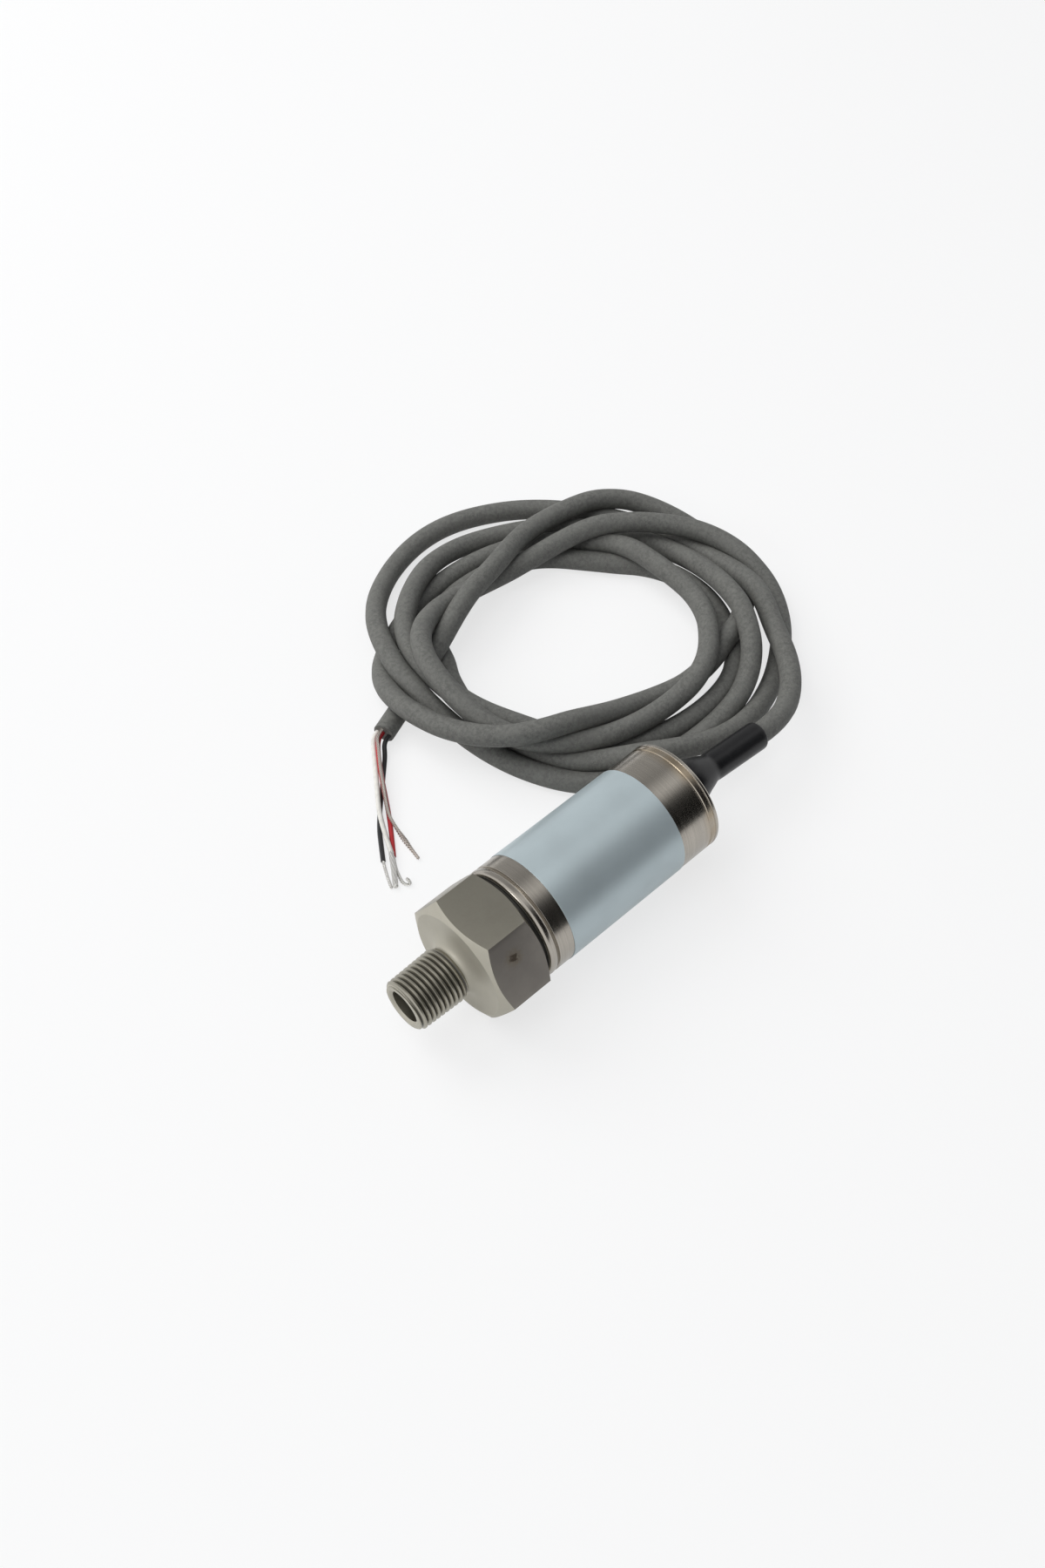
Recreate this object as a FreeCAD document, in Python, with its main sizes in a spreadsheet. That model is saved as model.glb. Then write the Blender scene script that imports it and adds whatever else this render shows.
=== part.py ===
import FreeCAD, Part

import math
import os

import Sketcher
from FreeCAD import Placement, Rotation, Vector

# Pressure transmitter with a wound signal cable, in millimetres.
#
# The transmitter lies along X on one flat of its hexagon, with the pressure port at -X and the
# cable at +X. Z = 0 is the surface it lies on. The origin is under the middle of the transmitter
# alone: the cable beyond the sleeve isn't counted.
#
# Every piece of the transmitter is drawn along its own axis: "along" is the distance from the
# port's mouth, "across" is sideways and "up" is upwards from the axis.

doc = FreeCAD.newDocument("PressureTransmitter")

# ---------------------------------------------------------------- driving dimensions

SIZES = [
    ("overall_length", 87.4, "port mouth to the end of the cable sleeve"),
    ("hex_flats", 22.2, "hexagon, across flats (7/8 inch spanner)"),
    ("hex_front", 12.0, "port mouth to the hexagon's front face"),
    ("hex_length", 10.5, "length of the hexagon"),
    ("hex_face", 20.8, "circle left on the hexagon's front face by its chamfer"),
    ("hex_back_face", 22.0, "circle left on the hexagon's back face"),
    ("thread_length", 10.4, "length of the male thread"),
    ("thread_tip", 9.98, "crest diameter at the port's mouth, 1/8-27 taper pipe thread"),
    ("thread_pitch", 0.9407, "27 turns to the inch"),
    ("thread_depth", 0.72, "crest to root"),
    ("shoulder", 16.4, "diameter at which the thread's run-out meets the hexagon's face"),
    ("port_bore", 6.2, "bore of the pressure port"),
    ("port_depth", 27.8, "depth of the bore, to the sensing diaphragm"),
    ("port_bevel", 0.4, "bevel at the bore's mouth"),
    ("collar_diameter", 20.4, "undercut between the hexagon and the can"),
    ("spigot_back", 26.4, "port mouth to the back of the spigot that carries the can"),
    ("boss_diameter", 9.6, "boss that ends in the diaphragm"),
    ("boss_back", 28.4, "port mouth to the diaphragm's outer face"),
    ("can_diameter", 22.0, "outside of the can"),
    ("can_wall", 0.6, "wall of the can"),
    ("can_front", 23.4, "port mouth to the can's front edge"),
    ("can_back", 64.5, "port mouth to the can's rolled back rim"),
    ("can_lip", 17.6, "opening left by the rolled rim"),
    ("can_edge", 0.8, "radius of the rolled rim"),
    ("score_depth", 0.18, "depth of the turned lines near the can's two ends"),
    ("plate_front", 62.2, "port mouth to the back plate"),
    ("label_front", 28.8, "port mouth to the label"),
    ("label_length", 26.8, "length of the label along the can"),
    ("label_thick", 0.08, "thickness of the label"),
    ("label_wrap", 338.0, "how far the label goes round the can, degrees"),
    ("board_front", 31.5, "port mouth to the circuit board"),
    ("board_length", 26.0, "length of the circuit board"),
    ("board_width", 17.0, "width of the circuit board"),
    ("board_thick", 1.6, "thickness of the circuit board"),
    ("spacer_length", 3.5, "length of each spacer that holds the board"),
    ("spacer_slot", 1.4, "depth of the slot that the board stands in"),
    ("spacer_bore", 8.0, "opening through each spacer"),
    ("cable_diameter", 4.3, "outside of the cable"),
    ("cable_start", 58.8, "port mouth to the end of the cable's jacket inside the can"),
    ("grommet_front", 61.2, "port mouth to the grommet's inner flange"),
    ("grommet_flange", 12.0, "diameter of the grommet's inner flange"),
    ("grommet_neck", 7.6, "hole in the back plate, filled by the grommet"),
    ("grommet_dome", 9.4, "diameter of the grommet's dome at the back plate"),
    ("grommet_tip", 6.6, "diameter at the dome's end"),
    ("grommet_back", 72.6, "port mouth to the dome's end"),
    ("dome_radius", 6.4, "radius of the dome's outline"),
    ("sleeve_diameter", 6.1, "outside of the shrunk sleeve over the cable"),
    ("sleeve_mouth", 9.7, "diameter of the sleeve's mouth, stretched over the dome"),
    ("sleeve_flare", 2.6, "how far the mouth reaches over the dome"),
    ("sleeve_sag", 7.2, "how far the sleeve hangs below the axis, degrees"),
    ("wire_diameter", 0.95, "outside of each insulated wire"),
    ("strand_diameter", 0.62, "outside of each bared, tinned end"),
    ("drain_diameter", 0.7, "outside of the twisted drain wire"),
]

sheet = doc.addObject("Spreadsheet::Sheet", "Sizes")
sheet.set("A1", "name")
sheet.set("B1", "size")
sheet.set("C1", "meaning")
for row, (alias, size, meaning) in enumerate(SIZES, start=2):
    sheet.set("A%d" % row, alias)
    sheet.set("B%d" % row, str(size))
    sheet.set("C%d" % row, meaning)
    sheet.setAlias("B%d" % row, alias)
doc.recompute()


def size(alias):
    """A driving dimension, as a number."""
    return float(sheet.get(alias))


# ---------------------------------------------------------------- ways of building

nodes = []
ALONG_X = Rotation(Vector(1, 1, 1), 120)    # a piece's own X, Y, Z become Y, Z, X
BACK = "overall_length / 2"


def bound(expression):
    """Points an expression's names at the sheet."""
    words = "".join(c if c.isalnum() or c == "_" else " " for c in expression).split()
    known = {alias for alias, _, _ in SIZES}
    for word in sorted(set(words) & known, key=len, reverse=True):
        expression = replace_word(expression, word)
    return expression


def replace_word(text, word):
    """Puts the sheet's name before one whole word of an expression."""
    out, i = "", 0
    while i < len(text):
        end = i
        while end < len(text) and (text[end].isalnum() or text[end] == "_"):
            end += 1
        token = text[i:end] if end > i else text[i]
        starts_fresh = not out.endswith(".")
        out += "Sizes." + token if token == word and starts_fresh else token
        i += len(token)
    return out


def drive(thing, **sizes):
    """Binds properties of a piece to expressions on the sheet."""
    for name, expression in sizes.items():
        thing.setExpression(name.replace("__", "."), bound(expression))


def put(thing, across="0", up="0", along="0"):
    """Places a raw shape in a piece's own frame, before the piece is stood along X."""
    drive(thing, Placement__Base__x=across, Placement__Base__y=up, Placement__Base__z=along)
    return thing


def stand(thing, across="0", up="0", along="0"):
    """Turns a finished piece along X and lifts it to the axis."""
    thing.Placement = Placement(Vector(0, 0, 0), ALONG_X)
    drive(
        thing,
        Placement__Base__x="(%s) - %s" % (along, BACK),
        Placement__Base__y=across,
        Placement__Base__z="hex_flats / 2 + (%s)" % up,
    )
    return thing


def node(thing, label):
    """Names a finished piece, so that it is checked and written."""
    thing.Label = label
    nodes.append(thing)
    return thing


def cylinder(name, diameter, start, length, angle="360"):
    shape = doc.addObject("Part::Cylinder", name)
    drive(shape, Radius="(%s) / 2" % diameter, Height=length, Angle=angle)
    return put(shape, along=start)


def cone(name, front_diameter, back_diameter, start, length):
    shape = doc.addObject("Part::Cone", name)
    drive(shape, Radius1="(%s) / 2" % front_diameter, Radius2="(%s) / 2" % back_diameter, Height=length)
    return put(shape, along=start)


def block(name, width, height, length, across="0", up="0", along="0"):
    """A box centred across, standing on `up` and starting at `along`."""
    shape = doc.addObject("Part::Box", name)
    drive(shape, Length=width, Width=height, Height=length)
    return put(shape, across="(%s) - (%s) / 2" % (across, width), up=up, along=along)


def joined(name, shapes):
    fused = doc.addObject("Part::MultiFuse", name)
    fused.Shapes = shapes
    return fused


def together(name, shapes):
    """Like pieces that share one node, each a solid of its own."""
    group = doc.addObject("Part::Compound", name)
    group.Links = shapes
    return group


def cut(name, base, tool):
    result = doc.addObject("Part::Cut", name)
    result.Base = base
    result.Tool = tool
    return result


def common(name, base, tool):
    result = doc.addObject("Part::Common", name)
    result.Base = base
    result.Tool = tool
    return result


def turned(name, corners, arcs=None):
    """A turned piece: its half section spun about the axis.

    corners are (radius, along) pairs of expressions, in order round the section. arcs gives the
    radius of the rounded side that starts at a corner: above 0 it bulges to the right of the way
    round, below 0 to the left.
    """
    arcs = arcs or {}
    body = doc.addObject("PartDesign::Body", name)
    sketch = body.newObject("Sketcher::SketchObject", name + "_section")
    plane = [f for f in body.Origin.OriginFeatures if f.Role == "XZ_Plane"][0]
    sketch.AttachmentSupport = (plane, [""])
    sketch.MapMode = "FlatFace"
    at = [
        Vector(*(float(sketch.evalExpression(bound(e))) for e in corner), 0) for corner in corners
    ]
    ends = []
    for i, start in enumerate(at):
        end = at[(i + 1) % len(at)]
        if i not in arcs:
            sketch.addGeometry(Part.LineSegment(start, end))
            ends.append((1, 2))
            continue
        chord = end - start
        radius = float(sketch.evalExpression(bound(arcs[i].lstrip("-"))))
        rise = radius - math.sqrt(max(radius ** 2 - chord.Length ** 2 / 4, 0))
        side = Vector(chord.y, -chord.x, 0).normalize() * (-rise if arcs[i].startswith("-") else rise)
        edge = Part.Arc(start, (start + end) / 2 + side, end).toShape()
        sketch.addGeometry(Part.ArcOfCircle(edge.Curve, edge.FirstParameter, edge.LastParameter))
        made = sketch.Geometry[i]
        ends.append((1, 2) if made.StartPoint.distanceToPoint(start) < 1e-6 else (2, 1))
    for i in range(len(at)):
        after = (i + 1) % len(at)
        sketch.addConstraint(Sketcher.Constraint("Coincident", i, ends[i][1], after, ends[after][0]))
    for i, (radius, along) in enumerate(corners):
        for kind, value, expression in (("DistanceX", at[i].x, radius), ("DistanceY", at[i].y, along)):
            place = sketch.addConstraint(Sketcher.Constraint(kind, -1, 1, i, ends[i][0], value))
            sketch.setExpression("Constraints[%d]" % place, bound(expression))
    for i, radius in arcs.items():
        value = sketch.Geometry[i].Radius
        place = sketch.addConstraint(Sketcher.Constraint("Radius", i, value))
        sketch.setExpression("Constraints[%d]" % place, bound(radius.lstrip("-")))
    spin = body.newObject("PartDesign::Revolution", name + "_turned")
    spin.Profile = sketch
    spin.ReferenceAxis = (sketch, ["V_Axis"])
    spin.Angle = 360
    body.Tip = spin
    return body


def made(name, shape, placement=None):
    """A piece whose shape is worked out here from the sheet's sizes."""
    feature = doc.addObject("Part::Feature", name)
    feature.Shape = shape
    if placement:
        feature.Placement = placement
    return feature


def tube(route, diameter, name):
    """A round cord along straight runs joined by arcs as large as the runs allow."""
    points = [Vector(*p) for p in route]
    edges, here, radii = [], points[0], []
    for before, corner, after in zip(points, points[1:], points[2:]):
        arriving = (corner - before).normalize()
        leaving = (after - corner).normalize()
        half_turn = arriving.getAngle(leaving) / 2
        reach = 0.45 * min((corner - before).Length, (after - corner).Length)
        radius = reach / math.tan(half_turn)
        radii.append(radius)
        bisector = (leaving - arriving).normalize()
        middle = corner + bisector * (radius / math.cos(half_turn) - radius)
        first, last = corner - arriving * reach, corner + leaving * reach
        edges.append(Part.LineSegment(here, first).toShape())
        edges.append(Part.Arc(first, middle, last).toShape())
        here = last
    edges.append(Part.LineSegment(here, points[-1]).toShape())
    path = Part.Wire(edges)
    section = Part.Wire(Part.makeCircle(diameter / 2, points[0], points[1] - points[0]))
    solid = path.makePipeShell([section], True, False)
    full = path.Length * math.pi * diameter ** 2 / 4
    if abs(solid.Volume - full) > 0.01 * full:
        raise RuntimeError("%s isn't its section times its length" % name)
    print("%s: %.1f mm long, radii %s" % (name, path.Length, [round(r, 1) for r in radii]))
    return solid


# ---------------------------------------------------------------- process fitting

def threaded_stem():
    """The male thread, as rings at its pitch on the 1 in 16 taper, and the run-out behind it."""
    tip, pitch, depth = size("thread_tip") / 2, size("thread_pitch"), size("thread_depth")
    flank = depth * math.tan(math.radians(30))
    outline = [Vector(0, 0, 0), Vector(tip - depth, 0, 0)]
    groove = pitch
    outline.append(Vector(tip - 0.1, 0, depth - 0.1))
    while groove + flank < size("thread_length") - pitch / 4:
        crest = tip + groove / 32
        if groove > depth + flank:
            outline.append(Vector(crest, 0, groove - flank))
            outline.append(Vector(crest - depth, 0, groove))
            outline.append(Vector(crest, 0, groove + flank))
        groove += pitch
    root = tip + size("thread_length") / 32 - depth
    start = Vector(root, 0, size("thread_length"))
    end = Vector(size("shoulder") / 2, 0, size("hex_front"))
    hollow = Vector(root + 0.28 * (end.x - start.x), 0, start.z + 0.66 * (end.z - start.z))
    edges = [Part.makeLine(a, b) for a, b in zip(outline + [start], outline[1:] + [start])
             if a.distanceToPoint(b) > 1e-6]
    edges.append(Part.Arc(start, hollow, end).toShape())
    inside = Vector(end.x, 0, size("hex_front") + 1)
    edges.append(Part.makeLine(end, inside))
    edges.append(Part.makeLine(inside, Vector(0, 0, inside.z)))
    edges.append(Part.makeLine(Vector(0, 0, inside.z), outline[0]))
    face = Part.Face(Part.Wire(edges))
    return face.revolve(Vector(0, 0, 0), Vector(0, 0, 1), 360)


def process_fitting():
    """Thread, hexagon, undercut, spigot and diaphragm boss, turned and milled from one bar."""
    corner = "hex_flats / cos(30 deg)"
    bevel = "((%s) - %s) / 2 * tan(30 deg)"
    front = bevel % (corner, "hex_face")
    back = bevel % (corner, "hex_back_face")
    bar = doc.addObject("Part::Prism", "hex_bar")
    bar.Polygon = 6
    drive(bar, Circumradius="(%s) / 2" % corner, Height="hex_length")
    put(bar, along="hex_front")
    limits = joined("hex_limits", [
        cone("hex_front_bevel", "hex_face", corner, "hex_front", front),
        cylinder("hex_middle", corner, "hex_front + %s" % front, "hex_length - %s - %s" % (front, back)),
        cone("hex_back_bevel", corner, "hex_back_face", "hex_front + hex_length - %s" % back, back),
    ])
    solid = joined("fitting_blank", [
        common("hexagon", bar, limits),
        made("threaded_stem", threaded_stem()),
        cylinder("undercut", "collar_diameter", "hex_front + hex_length - 1",
                 "can_front - hex_front - hex_length + 1"),
        cylinder("spigot", "can_diameter - 2 * can_wall", "can_front", "spigot_back - can_front"),
        cylinder("boss", "boss_diameter", "spigot_back - 1", "boss_back - spigot_back + 1"),
    ])
    bore = joined("bore", [
        cylinder("port", "port_bore", "0", "port_depth"),
        cone("port_mouth", "port_bore + 2 * port_bevel", "port_bore", "0", "port_bevel"),
    ])
    return node(stand(cut("fitting", solid, bore)), "process_fitting")


# ---------------------------------------------------------------- can, plate and label

def housing_can():
    """The can: a bead at its front edge, a turned line near each end and a rolled back rim."""
    outside, inside = "can_diameter / 2", "can_diameter / 2 - can_wall"
    lined = "can_diameter / 2 - score_depth"
    corners = [
        (inside, "can_front"),
        (outside + " - 0.5", "can_front"),
        (outside, "can_front + 0.5"),
        (outside, "can_front + 1.7"),
        (lined, "can_front + 1.9"),
        (lined, "can_front + 2.1"),
        (outside, "can_front + 2.3"),
        (outside, "can_back - 2.4"),
        (lined, "can_back - 2.2"),
        (lined, "can_back - 1.9"),
        (outside, "can_back - 1.7"),
        (outside, "can_back - can_edge"),
        (outside + " - can_edge", "can_back"),
        ("can_lip / 2", "can_back"),
        ("can_lip / 2", "can_back - can_wall - 0.1"),
        (inside, "can_back - can_wall - 0.1"),
    ]
    return node(stand(turned("can", corners, {1: "0.5", 11: "can_edge"})), "housing_can")


def back_plate():
    """The disc behind the rolled rim, with a hole for the grommet."""
    disc = cylinder("plate_disc", "can_diameter - 2 * can_wall", "plate_front",
                    "can_back - can_wall - 0.1 - plate_front")
    hole = cylinder("plate_hole", "grommet_neck", "plate_front - 1", "5")
    return node(stand(cut("plate", disc, hole)), "back_plate")


def label():
    """A plain printed foil, wrapped round the can with its gap underneath."""
    foil = cylinder("label_foil", "can_diameter + 2 * label_thick", "label_front", "label_length",
                    "label_wrap")
    core = cylinder("label_core", "can_diameter", "label_front - 1", "label_length + 2")
    turned_down = Rotation(Vector(0, 0, 1), -90 + (360 - size("label_wrap")) / 2)
    foil.Placement = Placement(foil.Placement.Base, turned_down)
    return node(stand(cut("label", foil, core)), "label")


# ---------------------------------------------------------------- sensing element and electronics

def strain_gauges():
    """Four gauge chips bonded to the diaphragm's outer face."""
    chips = [
        block("gauge_%d" % i, "0.6", "1.4", "0.15", across=across, up=up, along="boss_back")
        for i, (across, up) in enumerate(
            [("-1.9", "-1.9"), ("1.9", "-1.9"), ("-0.65", "-1.9"), ("0.65", "-1.9")])
    ]
    return node(stand(together("gauges", chips)), "strain_gauges")


def gauge_flex():
    """The flexible circuit from the gauges to the board."""
    ring = cut(
        "flex_ring",
        cylinder("flex_disc", "boss_diameter - 0.4", "boss_back", "0.15"),
        cylinder("flex_eye", "boss_diameter - 3.4", "boss_back - 1", "2"),
    )
    tab = block("flex_tab", "3", "3.4 - board_thick / 2", "0.15", up="board_thick / 2", along="boss_back")
    strip = block("flex_strip", "3", "0.15", "board_front + 2 - boss_back", up="board_thick / 2",
                  along="boss_back")
    return node(stand(joined("flex", [ring, tab, strip])), "gauge_flex")


def spacer(name, start, slot_start):
    """A moulded disc across the can, slotted for one end of the board."""
    disc = cylinder(name + "_disc", "can_diameter - 2 * can_wall", start, "spacer_length - 1")
    opening = joined(name + "_opening", [
        cylinder(name + "_bore", "spacer_bore", "%s - 1" % start, "spacer_length + 2"),
        block(name + "_slot", "board_width", "board_thick", "spacer_slot", up="-board_thick / 2",
              along=slot_start),
    ])
    return node(stand(cut(name + "_body", disc, opening)), name)


def circuit_board():
    board = block("board", "board_width", "board_thick", "board_length", up="-board_thick / 2",
                  along="board_front")
    holes = joined("lead_holes", [
        cylinder("lead_hole_%d" % i, "0.8", "0", "4") for i in range(3)
    ])
    for i, hole in enumerate(holes.Shapes):
        hole.Placement = Placement(Vector(0, 0, 0), Rotation(Vector(1, 0, 0), -90))
        put(hole, across=str(6.4 * (1 - i) - 0.2), up="-2", along="board_front + 3")
    return node(stand(cut("board_drilled", board, holes)), "circuit_board")


def on_board(label, parts):
    """Components soldered to the top of the board: (width, height, length, across, along)."""
    chips = [
        block("%s_%d" % (label, i), str(w), str(h), str(l), across=str(x), up="board_thick / 2",
              along="board_front + %s" % u)
        for i, (w, h, l, x, u) in enumerate(parts)
    ]
    shape = chips[0] if len(chips) == 1 else together(label + "_group", chips)
    if len(chips) > 1:
        return node(stand(shape), label)
    w, _, _, x, u = parts[0]
    stand(shape, across="%s - %s / 2" % (x, w), up="board_thick / 2", along="board_front + %s" % u)
    return node(shape, label)


def ground_clip():
    """A sprung strip from the board's back end to the can's wall."""
    reach = "sqrt((can_diameter / 2 - can_wall) ^ 2 - 6.5 ^ 2)"
    foot = block("clip_foot", "3", "0.3", "5", across="-5", up="board_thick / 2", along="board_front + 18")
    riser = block("clip_riser", "3", "%s - board_thick / 2" % reach, "0.3", across="-5",
                  up="board_thick / 2", along="board_front + 22.7")
    return node(stand(joined("clip", [foot, riser])), "ground_clip")


# ---------------------------------------------------------------- cable entry

def cable_grommet(root):
    """The moulded rubber grommet: inner flange, neck in the plate and dome outside, round the cable."""
    bore, behind = "cable_diameter / 2 - 0.3", "can_back - can_wall - 0.1"
    corners = [
        (bore, "grommet_front"),
        ("grommet_flange / 2", "grommet_front"),
        ("grommet_flange / 2", "plate_front"),
        ("grommet_neck / 2", "plate_front"),
        ("grommet_neck / 2", behind),
        ("grommet_dome / 2", behind),
        ("grommet_tip / 2", "grommet_back"),
        (bore, "grommet_back"),
    ]
    blank = stand(turned("grommet", corners, {5: "dome_radius"}))
    return node(cut("grommet_round_cable", blank, root), "cable_grommet")


def crimp_ring():
    ring = cut(
        "crimp",
        cylinder("crimp_outside", "cable_diameter + 2.4", "grommet_front - 2", "2"),
        cylinder("crimp_inside", "cable_diameter", "grommet_front - 3", "4"),
    )
    return node(stand(ring), "crimp_ring")


def at_axis(along, across=0.0, up=0.0):
    """A point in the object's frame, from its place along the axis."""
    return Vector(along - size("overall_length") / 2, across, size("hex_flats") / 2 + up)


def sleeve_direction():
    """The way the sleeve points, hanging a little below the axis."""
    sag = math.radians(size("sleeve_sag"))
    return Vector(math.cos(sag), 0, -math.sin(sag))


def sleeve_end():
    """The centre of the sleeve's end face: its upper edge is the transmitter's furthest point."""
    sag = math.radians(size("sleeve_sag"))
    level = size("overall_length") - size("grommet_back") - size("sleeve_diameter") / 2 * math.sin(sag)
    return at_axis(size("grommet_back")) + sleeve_direction() * (level / math.cos(sag))


def cable_root():
    """The end of the cable that the transmitter holds, from its bared end to the sleeve's end."""
    route = [at_axis(size("cable_start")), at_axis(size("grommet_back")), sleeve_end()]
    return node(made("root", tube(route, size("cable_diameter"), "cable_root")), "cable_root")


def cable_sleeve(grommet, root):
    """The shrunk sleeve, its mouth stretched over the grommet's dome."""
    end = (sleeve_end() - at_axis(size("grommet_back"))).Length
    mouth = -size("sleeve_flare")
    radius, lead = size("sleeve_diameter") / 2, 2.6
    start = Vector(size("sleeve_mouth") / 2, 0, mouth)
    throat = Vector(radius, 0, lead)
    hollow = Vector(radius + 0.3 * (start.x - radius), 0, mouth + 0.55 * (lead - mouth))
    edge = 0.5
    edges = [
        Part.makeLine(Vector(0, 0, mouth), start),
        Part.Arc(start, hollow, throat).toShape(),
        Part.makeLine(throat, Vector(radius, 0, end - edge)),
        Part.Arc(Vector(radius, 0, end - edge),
                 Vector(radius - 0.3 * edge, 0, end - 0.3 * edge),
                 Vector(radius - edge, 0, end)).toShape(),
        Part.makeLine(Vector(radius - edge, 0, end), Vector(0, 0, end)),
        Part.makeLine(Vector(0, 0, end), Vector(0, 0, mouth)),
    ]
    blank = Part.Face(Part.Wire(edges)).revolve(Vector(0, 0, 0), Vector(0, 0, 1), 360)
    lie = Placement(at_axis(size("grommet_back")), Rotation(Vector(0, 0, 1), sleeve_direction()))
    covered = joined("cable_in_grommet", [grommet, root])
    return node(cut("sleeve", made("sleeve_blank", blank, lie), covered), "cable_sleeve")


def inner_leads():
    """The cable's three wires, from its bared end to the top of the board."""
    wire, start = size("wire_diameter"), size("cable_start")
    up = size("board_thick") / 2 + wire / 2
    for label, across in (("inner_lead_white", 0.97), ("inner_lead_red", 0.0), ("inner_lead_black", -0.97)):
        route = [
            at_axis(start, across, up),
            at_axis(start - 2.0, across, up),
            at_axis(start - 4.4, across * 1.6 + 0.02, up),
            at_axis(start - 7.0, across * 1.9 + 0.05, up),
        ]
        node(made(label + "_run", tube(route, wire, label)), label)


# ---------------------------------------------------------------- free cable

LEAD_STRAIGHT = 7.0
LEAD_RUNS = [(58.0, 3.9, 7.6), (64.0, 10.2, 7.0), (68.4, 17.8, 6.6)]
WIRE_STRAIGHT = 2.0
CUT_END = (-4.8, 52.8, 2.15)
TAIL_START = (5.0, 56.7, 2.15)

# The coil, in twelve directions round its middle from +X towards +Y: how far it reaches out, how
# wide its eye is and how high it stands there.
COIL_SECTIONS = 48
COIL_RECESS = 0.5
COIL_MIDDLE = (37.8, 47.0)
COIL_REACH = [44.5, 42.5, 41.5, 43.5, 42.5, 39.0, 38.0, 35.0, 38.0, 41.5, 44.5, 47.0]
COIL_EYE = [24.0, 21.0, 19.5, 18.0, 18.0, 22.0, 23.5, 22.0, 22.0, 21.0, 26.5, 27.0]
COIL_TOP = [9.5, 9.0, 9.0, 10.5, 10.5, 13.0, 12.0, 11.5, 9.0, 7.5, 9.5, 10.5]


def around(values, turn):
    """One of the coil's lists, read smoothly at any part of a turn."""
    place = turn * len(values)
    i = int(place)
    t = place - i
    a, b, c, d = (values[(i + k) % len(values)] for k in (-1, 0, 1, 2))
    return b + t * (c - a + t * (2 * a - 5 * b + 4 * c - d + t * (3 * (b - c) + d - a))) / 2


def coil_section(turn):
    """The coil's outline where it crosses one direction from its middle, as a closed wire."""
    eye, reach, top = (around(values, turn) for values in (COIL_EYE, COIL_REACH, COIL_TOP))
    corner = size("cable_diameter") / 2
    bend = corner * (1 - math.sqrt(0.5))
    middle = Vector(*COIL_MIDDLE, 0)
    radial = Vector(math.cos(2 * math.pi * turn), math.sin(2 * math.pi * turn), 0)

    def at(out, height):
        return middle + radial * out + Vector(0, 0, height)

    sides = [
        (at(eye + corner, 0), at(reach - corner, 0), at(reach - bend, bend)),
        (at(reach, corner), at(reach, top - corner), at(reach - bend, top - bend)),
        (at(reach - corner, top), at(eye + corner, top), at(eye + bend, top - bend)),
        (at(eye, top - corner), at(eye, corner), at(eye + bend, bend)),
    ]
    edges = []
    for i, (start, end, round_to) in enumerate(sides):
        edges.append(Part.makeLine(start, end))
        edges.append(Part.Arc(end, round_to, sides[(i + 1) % 4][0]).toShape())
    return Part.Wire(edges)


def cable_coil(lead):
    """The outer shape of the wound cable, recessed where the cable goes in and comes out."""
    sections = [coil_section(i / COIL_SECTIONS) for i in range(COIL_SECTIONS)]
    ring = Part.makeLoft(sections, True, True, True)
    wide = size("cable_diameter") + 2 * COIL_RECESS
    tail = Vector(*CUT_END) - Vector(*TAIL_START)
    ring = ring.cut(tube(lead, wide, "lead_recess"))
    ring = ring.cut(Part.makeCylinder(wide / 2, 30, Vector(*TAIL_START), tail))
    solid = max(ring.Solids, key=lambda s: s.Volume)
    return node(made("coil", solid), "cable_coil")


def free_cable():
    """The cable from the sleeve to the coil, the coil, and its free end."""
    diameter = size("cable_diameter")
    end = sleeve_end()
    lead = [end, end + sleeve_direction() * LEAD_STRAIGHT] + LEAD_RUNS
    node(made("lead", tube(lead, diameter, "cable_lead")), "cable_lead")
    node(made("tail", tube([TAIL_START, CUT_END], diameter, "cable_tail")), "cable_tail")
    cable_coil(lead)


# Each wire leaves the cut end of the jacket and comes down on the surface: how far it starts to
# the side of the cable's middle, its height there, the points it passes, and its bared end.
WIRES = {
    "white_wire": (
        1.35, 2.0,
        [(-10.6, 48.9, 1.4), (-14.2, 43.4, 1.6), (-17.2, 38.9, 1.8), (-19.6, 34.6, 0.9), (-21.4, 31.0, 0.5)],
        [(-23.2, 27.9, 0.45), (-25.3, 24.6, 0.33)],
    ),
    "red_wire": (
        0.2, 2.3,
        [(-8.9, 49.5, 2.1), (-11.2, 45.9, 1.8), (-13.2, 42.0, 1.2), (-15.6, 38.4, 0.6), (-18.3, 34.1, 0.5),
         (-20.6, 30.4, 0.5)],
        [(-22.6, 27.2, 0.45), (-23.6, 23.9, 0.33)],
    ),
    "black_wire": (
        -1.15, 2.0,
        [(-9.2, 47.4, 1.0), (-12.6, 43.9, 0.5), (-15.6, 40.6, 0.5), (-18.9, 36.9, 0.5), (-21.6, 33.4, 0.5),
         (-23.5, 30.2, 0.5)],
        [(-24.9, 27.9, 0.45), (-26.3, 25.2, 0.33)],
    ),
}
DRAIN = (
    0.3, 3.35,
    [(-8.6, 49.6, 3.2), (-11.0, 45.9, 2.85), (-13.2, 41.9, 2.25), (-15.1, 38.1, 1.45), (-16.4, 34.6, 0.6),
     (-17.2, 30.8, 0.37), (-18.3, 26.6, 0.37)],
)


def out_of_jacket(aside, height):
    """A wire's first two points: on the jacket's cut face, and straight out of it."""
    out = (Vector(*CUT_END) - Vector(*TAIL_START)).normalize()
    start = Vector(*CUT_END) + Vector(out.y, -out.x, 0) * aside
    start.z = height
    return [start, start + out * WIRE_STRAIGHT]


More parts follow.
